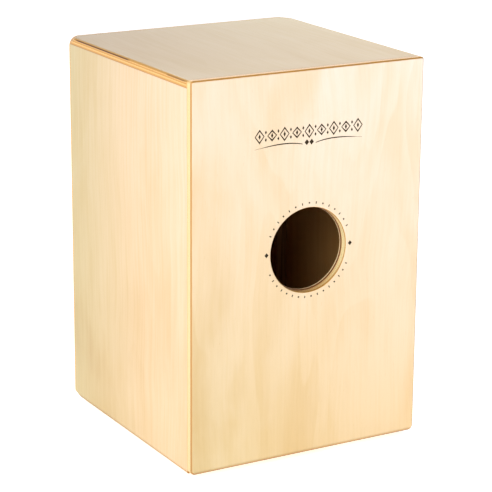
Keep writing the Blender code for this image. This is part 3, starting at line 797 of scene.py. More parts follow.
class Graph:
    """A material and its node tree, with short calls for the nodes used here."""

    def __init__(self, name):
        self.material = bpy.data.materials.new(name)
        self.material.use_nodes = True
        self.tree = self.material.node_tree
        self.shader = self.tree.nodes["Principled BSDF"]

    def plug(self, socket, value):
        """Link a socket to another node's output, or set it to a plain value."""
        if isinstance(value, bpy.types.NodeSocket):
            self.tree.links.new(value, socket)
        else:
            socket.default_value = value

    def node(self, kind, inputs=(), **settings):
        made = self.tree.nodes.new("ShaderNode" + kind)
        for key, value in settings.items():
            setattr(made, key, value)
        for key, value in dict(inputs).items():
            self.plug(made.inputs[key], value)
        return made

    def place(self):
        """Position on the object, which is the same as in the CAD model."""
        return self.node("TexCoord").outputs["Object"]

    def normal(self):
        return self.node("TexCoord").outputs["Normal"]

    def parts(self, vector):
        split = self.node("SeparateXYZ", {"Vector": vector})
        return [split.outputs[axis] for axis in "XYZ"]

    def join(self, x, y, z):
        return self.node("CombineXYZ", {"X": x, "Y": y, "Z": z}).outputs["Vector"]

    def math(self, operation, first, second=0.0, third=0.0):
        made = self.node("Math", {0: first, 1: second, 2: third}, operation=operation)
        return made.outputs["Value"]

    def times(self, first, second):
        return self.math("MULTIPLY", first, second)

    def minus(self, first, second):
        return self.math("SUBTRACT", first, second)

    def fused(self, first, factor, added):
        """first * factor + added"""
        return self.math("MULTIPLY_ADD", first, factor, added)

    def stretch(self, vector, factors):
        return self.node("VectorMath", {0: vector, 1: factors}, operation="MULTIPLY").outputs["Vector"]

    def shift(self, vector, offset):
        return self.node("VectorMath", {0: vector, 1: offset}, operation="ADD").outputs["Vector"]

    def noise(self, vector, detail=2.0, roughness=0.5, distortion=0.0):
        inputs = {"Vector": vector, "Scale": 1.0, "Detail": detail}
        inputs.update({"Roughness": roughness, "Distortion": distortion})
        return self.node("TexNoise", inputs).outputs[0]

    def grain(self, place, scale, detail=2.0, roughness=0.5):
        """Noise of one size all round, or with a size of its own along each axis."""
        factors = scale if isinstance(scale, tuple) else (scale, scale, scale)
        return self.noise(self.stretch(place, factors), detail, roughness)

    def span(self, value, low, high, to_low=0.0, to_high=1.0):
        """Map one range onto another, held at its ends, with soft shoulders."""
        inputs = {"Value": value, "From Min": low, "From Max": high}
        inputs.update({"To Min": to_low, "To Max": to_high})
        return self.node("MapRange", inputs, interpolation_type="SMOOTHSTEP").outputs["Result"]

    def share(self, value, low, high):
        """How far a value lies along a range, held at its ends."""
        inputs = {"Value": value, "From Min": low, "From Max": high}
        return self.node("MapRange", inputs).outputs["Result"]

    def blend(self, factor, first, second, mode="MIX"):
        made = self.node("Mix", data_type="RGBA", blend_type=mode)
        for index, value in ((0, factor), (6, first), (7, second)):
            self.plug(made.inputs[index], value)
        return made.outputs[2]

    def tone(self, colour, tint):
        """A colour darkened by a tint."""
        return self.blend(1.0, colour, tint, "MULTIPLY")

    def ramp(self, value, stops, interpolation="LINEAR"):
        """A colour ramp from (position, colour) stops; a plain number is a grey."""
        made = self.node("ValToRGB", {"Fac": value})
        ramp = made.color_ramp
        ramp.interpolation = interpolation
        while len(ramp.elements) < len(stops):
            ramp.elements.new(1.0)
        for element, (position, colour) in zip(ramp.elements, stops):
            element.position = position
            element.color = colour if isinstance(colour, tuple) else (colour, colour, colour, 1.0)
        return made.outputs["Color"]

    def bump(self, height, strength, distance):
        inputs = {"Height": height, "Strength": strength, "Distance": distance}
        self.plug(self.shader.inputs["Normal"], self.node("Bump", inputs).outputs["Normal"])

    def finish(self, colour, roughness, **constants):
        """Wire colour and roughness, and set the shader's other numbers."""
        self.plug(self.shader.inputs["Base Color"], colour)
        self.plug(self.shader.inputs["Roughness"], roughness)
        for name, value in constants.items():
            self.shader.inputs[name.replace("_", " ")].default_value = value
        return self.material


class Sheet:
    """How a plywood panel lies in its box: its grain axes, and the side its face is on."""

    def __init__(self, box, across, along, facing, outward):
        low, high = box
        self.across = across
        self.along = along
        self.facing = facing
        self.outward = outward
        self.face = high[facing] if outward > 0 else low[facing]
        self.thickness = high[facing] - low[facing]
        self.across_reach = (low[across], high[across])
        self.along_reach = (low[along], high[along])


class Ply(NamedTuple):
    """One layer: its thickness, whether its grain runs across, and its look lengthwise and end-on."""

    thickness: float
    crosswise: bool
    lengthwise: tuple
    end: tuple


WHITE = (1.0, 1.0, 1.0, 1.0)
FLAME_TINT = srgb(246, 238, 220)
PATCH_TINT = srgb(247, 238, 212)
LINE_TINT = srgb(246, 239, 219)
SPOT_TINT = srgb(244, 237, 220)
FLECK_COLOUR = srgb(222, 196, 156)
GLUE_LINE = 0.00009
GLUE_COLOUR = srgb(150, 98, 50)
RAW_WOOD = srgb(240, 208, 166)


def ply_stops(plies, thickness, look, glue=None):
    """Ramp stops for one property of the layers, with thin glue lines between them if asked for."""
    stops = []
    depth = 0.0
    for index, ply in enumerate(plies):
        start = depth / thickness
        if index and glue is not None:
            stops.append((start - GLUE_LINE / 2 / thickness, glue))
            start += GLUE_LINE / 2 / thickness
        stops.append((start, look(ply)))
        depth += ply.thickness
    return stops


class Veneer(NamedTuple):
    """The looks of a face veneer: its ground colour at each corner and the strength of its figure.

    The corner colours are the lower pair and the upper pair, each from low to high across the grain.
    On the back, the right side and the seat their differences are painted light and shade.
    Each warm spot is its middle, across and along the grain, its reach both ways, and its strength.
    """

    corners: tuple
    seed: float
    flame: float = 1.0
    patches: float = 1.0
    lines: float = 1.0
    spots: tuple = ()


def veneer_ground_and_painted_light(graph, across, along, corners):
    """The ground colour, blended between the four corners of the panel; this blend carries painted
    light and shade.
    """
    lower, upper = corners
    return graph.blend(along, graph.blend(across, *lower), graph.blend(across, *upper))


def spot_share(graph, across, along, ragged, spot):
    """How strongly a soft, ragged spot of warmer wood covers a place."""
    middle_across, middle_along, reach_across, reach_along, strength = spot
    away_across = graph.math("DIVIDE", graph.minus(across, middle_across), reach_across)
    away_along = graph.math("DIVIDE", graph.minus(along, middle_along), reach_along)
    squared = graph.fused(away_across, away_across, graph.times(away_along, away_along))
    away = graph.fused(graph.minus(ragged, 0.5), -2.4, graph.math("SQRT", squared))
    return graph.span(away, 0.0, 1.3, strength, 0.0)


def veneer_figure(graph, across, along, veneer):
    """Tint, grain height and gloss variation of a rotary-cut birch face.

    Flame-shaped contours, cloudy patches, fine lines and fibres along the grain, and tiny flecks.
    """
    seed = veneer.seed
    wander = graph.noise(graph.join(graph.times(across, 5.0), graph.times(along, 4.0), seed))
    bent = graph.fused(wander, 0.03, across)

    def layer(across_scale, along_scale, offset, detail, distortion=0.0):
        x = graph.times(bent, across_scale)
        y = graph.times(along, along_scale)
        return graph.noise(graph.join(x, y, seed + offset), detail, 0.55, distortion)

    contours = graph.fused(along, 3.0, graph.times(layer(11.0, 2.0, 3.1, 2.0), 8.0))
    crest = graph.math("FRACT", contours)
    flame = graph.times(graph.span(crest, 0.0, 0.7), graph.span(crest, 0.92, 1.0, 1.0, 0.0))
    clouds = layer(12.0, 4.0, 7.7, 4.0, 0.4)
    lines = layer(330.0, 7.0, 11.3, 3.0)
    fibres = layer(1500.0, 45.0, 13.9, 2.0)
    flecks = layer(900.0, 110.0, 23.1, 1.0)

    flame_share = graph.times(graph.times(flame, graph.span(clouds, 0.35, 0.65)), veneer.flame)
    tint = graph.blend(flame_share, WHITE, FLAME_TINT)
    patch_share = graph.times(graph.span(clouds, 0.30, 0.72), veneer.patches)
    tint = graph.tone(tint, graph.blend(patch_share, WHITE, PATCH_TINT))
    line_share = graph.times(graph.span(lines, 0.38, 0.70), veneer.lines)
    tint = graph.tone(tint, graph.blend(line_share, WHITE, LINE_TINT))
    for spot in veneer.spots:
        warmed = graph.tone(tint, SPOT_TINT)
        tint = graph.blend(spot_share(graph, across, along, clouds, spot), tint, warmed)
    tint = graph.tone(tint, graph.ramp(fibres, [(0.25, 0.955), (0.75, 1.0)]))
    tint = graph.blend(graph.span(flecks, 0.68, 0.80, 0.0, 0.25), tint, FLECK_COLOUR)
    height = graph.fused(lines, 0.5, fibres)
    gloss = graph.fused(graph.minus(clouds, 0.5), 0.16, graph.times(fibres, 0.08))
    return tint, height, gloss


def plywood(name, sheet, plies, veneer, roughness=0.40, stain_and_painted_light=None):
    """Lacquered plywood: veneer on the faces, and its layers wherever the panel is cut."""
    graph = Graph(name)
    place = graph.place()
    axes = graph.parts(place)
    across = axes[sheet.across]
    along = axes[sheet.along]
    from_face = graph.fused(axes[sheet.facing], -sheet.outward, sheet.outward * sheet.face)
    uneven = graph.grain(place, 90.0, 2.0)
    depth = graph.fused(graph.minus(uneven, 0.5), 0.00022, from_face)
    layer = graph.math("DIVIDE", depth, sheet.thickness)

    across_share = graph.share(across, *sheet.across_reach)
    along_share = graph.share(along, *sheet.along_reach)
    ground = veneer_ground_and_painted_light(graph, across_share, along_share, veneer.corners)
    tint, height, gloss = veneer_figure(graph, across, along, veneer)
    figure = graph.tone(ground, tint)

    grain_sizes = [60.0, 60.0, 60.0]
    grain_sizes[sheet.facing] = 2600.0
    streak = graph.grain(place, tuple(grain_sizes), 3.0, 0.6)
    pores = graph.grain(place, 2300.0, 2.0, 0.6)
    streak_tone = graph.ramp(streak, [(0.25, 0.86), (0.75, 1.0)])
    pore_tone = graph.ramp(pores, [(0.30, 0.80), (0.62, 1.0)])

    def by_layer(look, glue=None):
        return graph.ramp(layer, ply_stops(plies, sheet.thickness, look, glue), "CONSTANT")

    lengthwise = by_layer(lambda ply: ply.lengthwise, GLUE_COLOUR)
    end = by_layer(lambda ply: ply.end, GLUE_COLOUR)
    crosswise = by_layer(lambda ply: float(ply.crosswise))
    face_share = plies[0].thickness / sheet.thickness
    rear_share = plies[-1].thickness / sheet.thickness
    core = graph.ramp(layer, [(0.0, 0.0), (face_share, 1.0), (1 - rear_share, 0.0)], "CONSTANT")

    turned = [graph.math("ABSOLUTE", part) for part in graph.parts(graph.normal())]
    end_on = graph.node("Mix", data_type="FLOAT")
    for index, value in ((0, crosswise), (2, turned[sheet.along]), (3, turned[sheet.across])):
        graph.plug(end_on.inputs[index], value)
    end_share = graph.span(end_on.outputs[0], 0.15, 0.85)

    inside = graph.ramp(layer, [(0.0, 0.0), (1 - rear_share, 1.0)], "CONSTANT")
    figure = graph.blend(inside, figure, graph.tone(figure, RAW_WOOD))
    lengthwise = graph.tone(lengthwise, streak_tone)
    lengthwise = graph.blend(core, figure, lengthwise)
    end = graph.tone(end, pore_tone)
    colour = graph.blend(end_share, lengthwise, end)
    # This hook adds real marks and also painted shade and a painted highlight
    if stain_and_painted_light is not None:
        colour = stain_and_painted_light(graph, axes, from_face, colour)

    graph.bump(graph.fused(pores, 0.4, height), 0.10, 0.0001)
    rough = graph.math("ADD", graph.fused(end_share, 0.12, gloss), roughness - 0.04)
    return graph.finish(colour, rough, Coat_Weight=0.25, Coat_Roughness=0.22)


# ---------------------------------------------------------------- materials


LIGHT_PLY = srgb(240, 203, 148)
AMBER_PLY = srgb(222, 170, 92)


def back_layup(thickness):
    """A thin pale veneer over a dark cross layer, then pale layers parted by fine dark ones."""
    # Painted light: these layers are paler than those of thick_layup because more light falls on the
    # back panel
    pale = srgb(244, 214, 162)
    fine = srgb(214, 178, 116)
    core = (thickness - 0.0043) / 3
    return [
        Ply(0.0003, False, pale, pale),
        Ply(0.0016, True, srgb(178, 124, 38), srgb(190, 146, 82)),
        Ply(core, False, srgb(255, 236, 180), srgb(242, 194, 124)),
        Ply(0.0003, True, fine, fine),
        Ply(core, True, srgb(244, 200, 134), srgb(255, 234, 176)),
        Ply(0.0003, False, fine, fine),
        Ply(core, False, srgb(255, 236, 180), srgb(242, 194, 124)),
        Ply(0.0018, True, srgb(236, 190, 122), srgb(244, 210, 148)),
    ]


def ring_layup(thickness):
    """A dark face on pale layers: glue-stained, and painted shade in the corner where the ring meets
    the back panel.
    """
    pale = srgb(246, 220, 170)
    return [
        Ply(0.0005, False, srgb(110, 68, 30), srgb(110, 68, 30)),
        Ply(thickness - 0.0010, False, pale, pale),
        Ply(0.0005, False, pale, pale),
    ]


def thin_layup(thickness, veneer):
    """Face veneer, crosswise layer, core, crosswise layer and rear veneer."""
    inner = (thickness - 2 * veneer) / 3
    return [
        Ply(veneer, False, LIGHT_PLY, srgb(205, 150, 92)),
        Ply(inner, True, srgb(238, 200, 142), srgb(226, 172, 108)),
        Ply(inner, False, LIGHT_PLY, srgb(214, 160, 100)),
        Ply(inner, True, srgb(238, 200, 142), srgb(216, 160, 96)),
        Ply(veneer, False, LIGHT_PLY, srgb(205, 150, 92)),
    ]


def thick_layup(thickness, veneer):
    """Seven layers, the outer two of them thin."""
    inner = (thickness - 2 * veneer - 0.0018 - 0.0010) / 3
    return [
        Ply(veneer, False, LIGHT_PLY, srgb(186, 135, 70)),
        Ply(0.0018, True, srgb(212, 158, 76), srgb(190, 141, 66)),
        Ply(0.0010, False, AMBER_PLY, srgb(176, 119, 48)),
        Ply(inner, True, srgb(234, 188, 114), srgb(192, 138, 58)),
        Ply(inner, False, AMBER_PLY, srgb(164, 107, 40)),
        Ply(inner, True, srgb(234, 188, 114), srgb(196, 142, 62)),
        Ply(veneer, False, LIGHT_PLY, srgb(200, 154, 90)),
    ]


# Ends of the soft borders of each tone: the painted shade from the panel's bottom, the edge tone from
# its outer edge, and the heartwood from its face
FLOOR_SHADE_HEIGHTS = (0.0012, 0.0050)
EDGE_TONE_INSETS = (0.0024, 0.0006)
HEARTWOOD_DEPTHS = ((0.0013, 0.0016), (0.0027, 0.0030))

# Where heartwood starts and ends along the seat, each with its soft border; the pale gap between the
# two stretches is a painted highlight
HEARTWOOD_FRONT = ((-0.139, -0.127), (0.000, 0.010))
HEARTWOOD_REAR = ((0.094, 0.100), (0.134, 0.142))
HEARTWOOD_REAR_STRENGTH = 0.6


def stretch_between(graph, value, borders):
    """One inside a stretch and nothing outside, with a soft border at each end."""
    start, end = borders
    return graph.minus(graph.span(value, *start), graph.span(value, *end))


def painted_floor_shade(graph, axes, _from_face, colour):
    """The lowest few millimetres of a panel, darkened as painted shade along the floor."""
    low, high = (body_box[0].z + height for height in FLOOR_SHADE_HEIGHTS)
    floor_shaded = graph.span(axes[2], low, high, 1.0, 0.0)
    # Painted shade: the bottom band is darkened where the panel meets the floor
    return graph.blend(floor_shaded, colour, graph.tone(colour, srgb(206, 180, 126)))


def toned_outer_edges(graph, axes, from_face, colour):
    """The upright outer edges of the back panel toned greyer, and its foot darkened as painted shade.
    """
    inner, outer = (body_box[1].x - inset for inset in EDGE_TONE_INSETS)
    edge = graph.span(graph.math("ABSOLUTE", axes[0]), inner, outer)
    toned = graph.blend(edge, colour, graph.tone(colour, srgb(228, 218, 204)))
    return painted_floor_shade(graph, axes, from_face, toned)


def back_ply(box):
    sheet = Sheet(box, 0, 2, 1, 1)
    # Painted light: the upper corners are paler and whiter as a painted sheen, and the -X side is
    # lighter where more light falls
    corners = (srgb(220, 191, 147), srgb(202, 181, 136)), (srgb(232, 218, 206), srgb(216, 195, 173))
    spots = ((0.110, 0.200, 0.024, 0.080, 0.7), (0.135, 0.095, 0.045, 0.110, 0.9))
    veneer = Veneer(corners, 1.0, flame=0.5, patches=0.5, lines=0.25, spots=spots)
    return plywood("back_plywood", sheet, back_layup(sheet.thickness), veneer, stain_and_painted_light=toned_outer_edges)


def ring_ply(box):
    sheet = Sheet(box, 0, 2, 1, 1)
    # Partly painted shade: the ring's dark face stands for glue and for the shade in the corner deep
    # behind the hole
    brown = srgb(110, 68, 32)
    veneer = Veneer(((brown, brown), (brown, brown)), 2.0)
    return plywood("ring_plywood", sheet, ring_layup(sheet.thickness), veneer)


def left_veneer():
    corners = (srgb(222, 194, 146), srgb(228, 202, 158)), (srgb(226, 202, 162), srgb(230, 210, 176))
    return Veneer(corners, 21.0, flame=0.3, patches=0.6, lines=0.6)


def right_veneer():
    # Painted shade: the corners at the far edge (low Y) and at the bottom are darker where less light
    # falls on this side
    corners = (srgb(183, 162, 105), srgb(216, 183, 142)), (srgb(188, 171, 129), srgb(221, 188, 160))
    spots = (
        (-0.140, 0.078, 0.055, 0.050, 1.0),
        (-0.020, 0.110, 0.140, 0.080, 0.3),
        (0.120, 0.120, 0.050, 0.100, 0.6),
    )
    return Veneer(corners, 34.0, flame=0.3, patches=0.5, lines=0.6, spots=spots)


def side_ply(name, box, outward, veneer):
    sheet = Sheet(box, 1, 2, 0, outward)
    return plywood(name, sheet, thick_layup(sheet.thickness, 0.0006), veneer, stain_and_painted_light=painted_floor_shade)


def heartwood_and_painted_highlight(graph, axes, from_face, colour):
    """Dark heartwood that shows in one thin layer, along two stretches of the seat's edge; between them
    the layer is left pale as a painted highlight.
    """
    front = stretch_between(graph, axes[1], HEARTWOOD_FRONT)
    rear = stretch_between(graph, axes[1], HEARTWOOD_REAR)
    stretch = graph.fused(rear, HEARTWOOD_REAR_STRENGTH, front)
    band = stretch_between(graph, from_face, HEARTWOOD_DEPTHS)
    return graph.blend(graph.times(stretch, band), colour, srgb(92, 50, 10))


def seat_ply(box):
    sheet = Sheet(box, 0, 1, 2, 1)
    # Partly painted shade: the seat is darker and greyer than the other panels, partly its own finish
    # and partly because less light falls on it; its darker corners are painted shade as well
    corners = (srgb(216, 196, 156), srgb(173, 141, 94)), (srgb(214, 186, 139), srgb(196, 168, 121))
    veneer = Veneer(corners, 5.0, flame=0.2, patches=0.25, lines=0.4)
    layup = thick_layup(sheet.thickness, 0.0006)
    return plywood("seat_plywood", sheet, layup, veneer, roughness=0.44, stain_and_painted_light=heartwood_and_painted_highlight)


def front_ply(box):
    sheet = Sheet(box, 0, 2, 1, -1)
    corners = (srgb(226, 194, 140), srgb(230, 200, 150)), (srgb(232, 204, 156), srgb(228, 198, 146))
    veneer = Veneer(corners, 9.0, flame=0.9, patches=0.9)
    return plywood("front_plywood", sheet, thin_layup(sheet.thickness, 0.0005), veneer, roughness=0.34)


def floor_ply(box):
    sheet = Sheet(box, 0, 1, 2, -1)
    corners = (srgb(230, 205, 160), srgb(226, 200, 154)), (srgb(228, 204, 162), srgb(232, 208, 164))
    layup = thick_layup(sheet.thickness, 0.0006)
    return plywood("bottom_plywood", sheet, layup, Veneer(corners, 13.0), roughness=0.5)


def batten_softwood(name, along, seed):
    """Planed softwood with growth lines along the batten."""
    graph = Graph(name)
    place = graph.place()
    sizes = [150.0, 150.0, 150.0]
    sizes[along] = 4.0
    spread = graph.shift(graph.stretch(place, tuple(sizes)), (seed, 0, 0))
    rings = graph.noise(spread, 2.0, 0.5, 0.3)
    fine = [1800.0, 1800.0, 1800.0]
    fine[along] = 40.0
    fibres = graph.grain(place, tuple(fine), 2.0)
    bands = graph.math("SINE", graph.times(rings, 38.0))
    stops = [(0.0, srgb(190, 146, 92)), (1.0, srgb(160, 112, 62))]
    colour = graph.ramp(graph.fused(bands, 0.5, 0.5), stops)
    colour = graph.tone(colour, graph.ramp(fibres, [(0.3, 0.86), (0.7, 1.0)]))
    graph.bump(fibres, 0.25, 0.0001)
    return graph.finish(colour, graph.span(fibres, 0.2, 0.8, 0.55, 0.75))


def black_steel():
    """Phosphated screw steel, worn to bare metal in places."""
    graph = Graph("black_steel")
    place = graph.place()
    grain = graph.grain(place, 3500.0, 3.0, 0.6)
    wear = graph.grain(place, 700.0, 3.0, 0.65)
    stops = [(0.35, srgb(34, 34, 37)), (0.62, srgb(58, 57, 58)), (0.74, srgb(120, 116, 110))]
    colour = graph.ramp(wear, stops)
    graph.bump(grain, 0.15, 0.00005)
    return graph.finish(colour, graph.span(grain, 0.2, 0.8, 0.30, 0.50), Metallic=0.85)


def zinc_steel():
    """Bright zinc plating with a faint cloudy bloom."""
    graph = Graph("zinc_steel")
    place = graph.place()
    bloom = graph.grain(place, 420.0, 3.0, 0.6)
    scratches = graph.grain(place, (3800.0, 500.0, 260.0), 2.0, 0.6)
    colour = graph.ramp(bloom, [(0.3, srgb(176, 178, 184)), (0.7, srgb(214, 212, 206))])
    graph.bump(scratches, 0.10, 0.00005)
    return graph.finish(colour, graph.span(bloom, 0.2, 0.8, 0.22, 0.42), Metallic=1.0)


def solder_metal():
    """Dull soft solder, frosted where it cooled."""
    graph = Graph("solder")
    place = graph.place()
    frost = graph.grain(place, 900.0, 4.0, 0.65)
    colour = graph.ramp(frost, [(0.3, srgb(150, 150, 152)), (0.7, srgb(198, 197, 192))])
    graph.bump(frost, 0.35, 0.0001)
    return graph.finish(colour, graph.span(frost, 0.2, 0.8, 0.30, 0.60), Metallic=0.9)


def foot_rubber():
    """Moulded black rubber with a matt, slightly dusty skin."""
    graph = Graph("foot_rubber")
    place = graph.place()
    skin = graph.grain(place, 1600.0, 3.0, 0.6)
    dust = graph.grain(place, 130.0, 3.0, 0.6)
    colour = graph.ramp(dust, [(0.35, srgb(26, 26, 27)), (0.70, srgb(44, 43, 42))])
    graph.bump(skin, 0.30, 0.0001)
    return graph.finish(colour, graph.span(dust, 0.3, 0.7, 0.70, 0.88))


def printed_ink():
    """Dark brown ink that has sunk unevenly into the grain."""
    graph = Graph("printed_ink")
    place = graph.place()
    sunk = graph.grain(place, (1500.0, 1500.0, 60.0), 3.0, 0.6)
    patches = graph.grain(place, 260.0, 2.0)
    mixed = graph.fused(patches, 0.5, graph.times(sunk, 0.5))
    colour = graph.ramp(mixed, [(0.35, srgb(30, 23, 10)), (0.65, srgb(50, 38, 18))])
    graph.bump(sunk, 0.15, 0.00005)
    return graph.finish(colour, graph.span(sunk, 0.2, 0.8, 0.55, 0.72), Specular_IOR_Level=0.2)


def pale_floor():
    """A matt white sheet that glows faintly, like a lit studio sweep."""
    graph = Graph("pale_floor")
    place = graph.place()
    tooth = graph.grain(place, 300.0, 2.0)
    colour = graph.ramp(tooth, [(0.2, srgb(246, 246, 246)), (0.8, srgb(249, 249, 249))])
    rough = graph.span(tooth, 0.2, 0.8, 0.75, 0.90)
    return graph.finish(colour, rough, Emission_Color=WHITE, Emission_Strength=FLOOR_GLOW)


# ---------------------------------------------------------------- pieces


def build_back_panel(ink):
    """The panel with the sound hole, and the ornament printed on it."""
    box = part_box("back_panel")
    low, high = box
    hole = ((0.0, HOLE_HEIGHT), sound_hole_profile(high.y - low.y))
    corners = (BACK_BOTTOM_CORNER, BACK_TOP_CORNER)
    mesh = plate_mesh("back_panel_ply", low, high, 1, corners, BACK_EDGE_ROUND, [hole])
    add_panel("back_panel_ply", mesh, back_ply(box), "back_panel")
    print_piece("ornament_frieze", frieze_polygons(), high.y, ink)
    print_piece("ornament_rule", rule_polygons(), high.y, ink)
    print_piece("ornament_ring", ring_polygons(), high.y, ink)


def build_hole_ring():
    """The ring glued behind the sound hole."""
    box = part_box("sound_hole_ring")
    low, high = box
    thickness = high.y - low.y
    outside = (high.x - low.x) / 2
    profile = round_rectangle((HOLE_RING_RADIUS, 0), (outside, thickness), [HOLE_RING_ROUND] * 4, 4)
    mesh = turned_mesh("sound_hole_ring_ply", profile, HOLE_SEGMENTS, closed=True)
    upright = Matrix.Rotation(math.radians(-90), 4, "X")
    mesh.transform(Matrix.Translation((0, low.y, HOLE_HEIGHT)) @ upright)
    material = ring_ply(box)
    add_piece(mesh.name, mesh, material, "drum_body", ["sound_hole_ring"])


def build_front_plate():
    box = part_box("front_plate")
    low, high = box
    holes = []
    for name in front_screw_names():
        middle = middle_of(name)
        holes.append(((middle.x, middle.z), countersink_profile(high.y - low.y)))
    corners = (FRONT_BOTTOM_CORNER, FRONT_TOP_CORNER)
    mesh = plate_mesh("front_plate_ply", low, high, -1, corners, FRONT_EDGE_ROUND, holes)
    add_panel("front_plate_ply", mesh, front_ply(box), "front_plate")


def build_seat():
    """The top panel, drawn in at the front by the sanded corners."""
    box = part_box("top_panel")
    low, high = box
    radii = (SHARP_EDGE_ROUND, SHARP_EDGE_ROUND, SEAT_EDGE_RADIUS, SEAT_EDGE_RADIUS)
    section = round_rectangle((low.x, low.z), (high.x, high.z), radii, 16)
    mesh = lengthwise_mesh("seat_ply", section, low.y - CLEARANCE + SEAM, high.y + CLEARANCE - SEAM)
    add_panel("seat_ply", mesh, seat_ply(box), "top_panel")


def build_side(node, outward, veneer):
    """A side panel; outward is 1 on the right and -1 on the left."""
    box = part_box(node)
    low, high = box
    lower_left = SHARP_EDGE_ROUND if outward > 0 else LOWER_EDGE_RADIUS
    lower_right = LOWER_EDGE_RADIUS if outward > 0 else SHARP_EDGE_ROUND
    radii = (lower_left, lower_right, SHARP_EDGE_ROUND, SHARP_EDGE_ROUND)
    section = round_rectangle((low.x, low.z), (high.x, high.z + CLEARANCE - SEAM), radii, 16)
    name = node.replace("panel", "ply")
    mesh = lengthwise_mesh(name, section, low.y - CLEARANCE + SEAM, high.y + CLEARANCE - SEAM)
    material = side_ply(name + "wood", box, outward, veneer)
    add_panel(name, mesh, material, node)


def front_screw_names():
    return sorted(name for name in frame["nodes"] if name.startswith("front_screw_"))


def middle_of(node):
    """The middle of a CAD node's box."""
    low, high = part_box(node)
    return (low + high) / 2


def body_of_node(node):
    """The CAD body that a node belongs to."""
    for body, members in frame["record"]["behaviour"]["bodies"].items():
        if node in members:
            return body
    raise KeyError(node)


def build_front_screws(steel):
    mesh = countersunk_screw_mesh()
    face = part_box("front_plate")[0].y
    for index, name in enumerate(front_screw_names()):
        middle = middle_of(name)
        head = (middle.x, face, middle.z)
        place = screw_place(head, DRIVEN_BACKWARDS, FRONT_SCREW_SPINS, index)
        add_piece(name + "_fine", mesh, steel, body_of_node(name), [name], place)


def build_feet(rubber, steel, screw_mesh):
    """The four rubber feet and their screws."""
    low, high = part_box("foot_front_left")
    mesh = foot_mesh(high.z - low.z)
    parts = [name for name in sorted(frame["nodes"]) if name.startswith("foot_")]
    feet = [name for name in parts if "screw" not in name]
    for index, name in enumerate(feet):
        low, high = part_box(name)
        middle = (low + high) / 2
        place = Matrix.Translation((middle.x, middle.y, high.z))
        add_piece(name + "_fine", mesh, rubber, "drum_body", [name], place)
        screw = name.replace("foot_", "foot_screw_")
        head = (middle.x, middle.y, low.z + FOOT_COUNTERBORE_DEPTH - CLEARANCE)
        place = screw_place(head, DRIVEN_UPWARDS, FOOT_SCREW_SPINS, index)
        add_piece(screw + "_fine", screw_mesh, steel, "drum_body", [screw], place)


def build_snare(hand, steel, solder, screw_mesh):
    """One fan snare: plate, coiled wires, solder and two screws."""
    node = f"snare_{hand}"
    low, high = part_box(node)
    middle = (low.x + high.x) / 2
    plate_front = high.y - SNARE_PLATE_THICKNESS
    plate_low = Vector((middle - SNARE_PLATE_HALF_WIDTH, plate_front, high.z - SNARE_PLATE_HEIGHT))
    plate_high = Vector((middle + SNARE_PLATE_HALF_WIDTH, high.y, high.z))
    screws = [f"snare_screw_{hand}_{which}" for which in ("inner", "outer")]
    hole_places = [(middle_of(name).x, middle_of(name).z) for name in screws]
    plate = snare_plate_mesh(f"{node}_plate", plate_low, plate_high, hole_places)
    piece = add_piece(f"{node}_plate", plate, steel, "drum_body", [node])
    edge = piece.modifiers.new("Broken edges", "BEVEL")
    edge.width = 0.00012
    edge.segments = 2
    edge.angle_limit = math.radians(60)
    wire_y = low.y + SNARE_COIL_RADIUS + SNARE_WIRE_RADIUS
    root = plate_low.z + SNARE_SOLDER_OVERLAP
    length = root - low.z - SNARE_TIP_GAP
    coils = coils_mesh(f"{node}_wires", middle, wire_y, root, length)
    add_piece(f"{node}_wires", coils, steel, "drum_body")
    fillet = solder_mesh(f"{node}_solder", middle, wire_y, root - SOLDER_DROP)
    add_piece(f"{node}_solder", fillet, solder, "drum_body")
    for index, name in enumerate(screws):
        screw_middle = middle_of(name)
        head = (screw_middle.x, plate_front - CLEARANCE, screw_middle.z)
        place = screw_place(head, DRIVEN_BACKWARDS, SNARE_SCREW_SPINS, index)
        add_piece(name + "_fine", screw_mesh, steel, "drum_body", [name], place)


def finish_carried_nodes():
    """Give the CAD nodes that stay in view their procedural materials."""
    dressed = {
        "bottom_panel": floor_ply(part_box("bottom_panel")),
        "front_batten_left": batten_softwood("batten_left_wood", 2, 1.0),
        "front_batten_right": batten_softwood("batten_right_wood", 2, 4.0),
        "front_batten_top": batten_softwood("batten_top_wood", 0, 7.0),
        "front_batten_bottom": batten_softwood("batten_bottom_wood", 0, 10.0),
        "snare_block_left": batten_softwood("block_left_wood", 0, 13.0),
        "snare_block_right": batten_softwood("block_right_wood", 0, 16.0),
    }
    for name, material in dressed.items():
        for slot in frame["nodes"][name].material_slots:
            slot.material = material


# ---------------------------------------------------------------- stage


def build_floor():
    """A wide round floor whose far rim sweeps up, so that low views have a pale backdrop too."""
    sweep = arc((FLOOR_FLAT_RADIUS, FLOOR_SWEEP_RADIUS), FLOOR_SWEEP_RADIUS, -90, -15, 16)
    mesh = turned_mesh("floor", [(0.0, 0.0), (2.0, 0.0), *sweep], 96)
    floor = bpy.data.objects.new("studio_floor", mesh)
    bpy.context.scene.collection.objects.link(floor)
    mesh.materials.append(pale_floor())


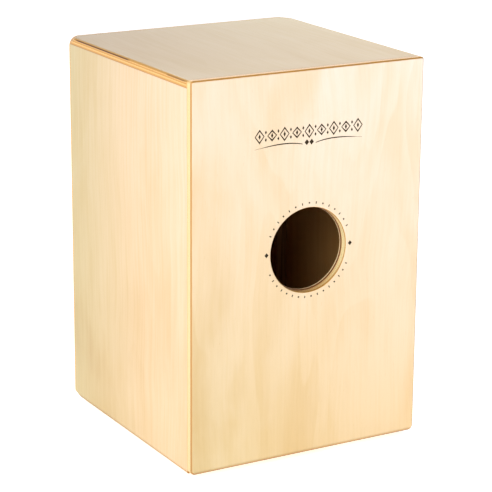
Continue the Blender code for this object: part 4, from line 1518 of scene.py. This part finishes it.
def soft_box(name, azimuth, elevation, width, height, power):
    """A large area light that looks at the middle of the object."""
    light = bpy.data.lights.new(name, "AREA")
    light.shape = "RECTANGLE"
    light.size = width
    light.size_y = height
    light.energy = power
    box = bpy.data.objects.new(name, light)
    bpy.context.scene.collection.objects.link(box)
    towards = direction(azimuth, elevation)
    box.location = LIGHT_TARGET + towards * LIGHT_DISTANCE
    box.rotation_mode = "QUATERNION"
    box.rotation_quaternion = (-towards).to_track_quat("-Z", "Y")
    box.visible_camera = False


def light_the_studio():
    world = bpy.data.worlds.new("studio")
    bpy.context.scene.world = world
    world.use_nodes = True
    background = world.node_tree.nodes["Background"]
    background.inputs["Color"].default_value = (1.0, 0.995, 0.985, 1.0)
    background.inputs["Strength"].default_value = SKY_STRENGTH
    soft_box("key_light", 131, 20, 1.2, 1.0, 38)
    soft_box("seat_light", 330, 42, 1.6, 1.2, 22)
    bpy.context.scene.view_settings.view_transform = "Standard"


def place_camera():
    data = bpy.data.cameras.new("camera")
    data.lens = VIEW_LENS
    data.sensor_width = VIEW_SENSOR
    data.clip_start = 0.05
    data.clip_end = 100.0
    camera = bpy.data.objects.new("camera", data)
    bpy.context.scene.collection.objects.link(camera)
    towards = direction(VIEW_AZIMUTH, VIEW_ELEVATION)
    camera.location = VIEW_TARGET + towards * VIEW_DISTANCE
    aim = (-towards).to_track_quat("-Z", "Y").to_matrix()
    roll = Matrix.Rotation(math.radians(VIEW_ROLL), 3, "Z")
    camera.rotation_mode = "QUATERNION"
    camera.rotation_quaternion = (aim @ roll).to_quaternion()
    bpy.context.scene.camera = camera


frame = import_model()
body_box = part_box("front_plate")

zinc = zinc_steel()
solder = solder_metal()
pan_screw = pan_screw_mesh()
build_back_panel(printed_ink())
build_hole_ring()
build_front_plate()
build_seat()
build_side("left_side_panel", -1, left_veneer())
build_side("right_side_panel", 1, right_veneer())
build_front_screws(black_steel())
build_feet(foot_rubber(), zinc, pan_screw)
build_snare("left", zinc, solder, pan_screw)
build_snare("right", zinc, solder, pan_screw)
finish_carried_nodes()
build_floor()
light_the_studio()
place_camera()
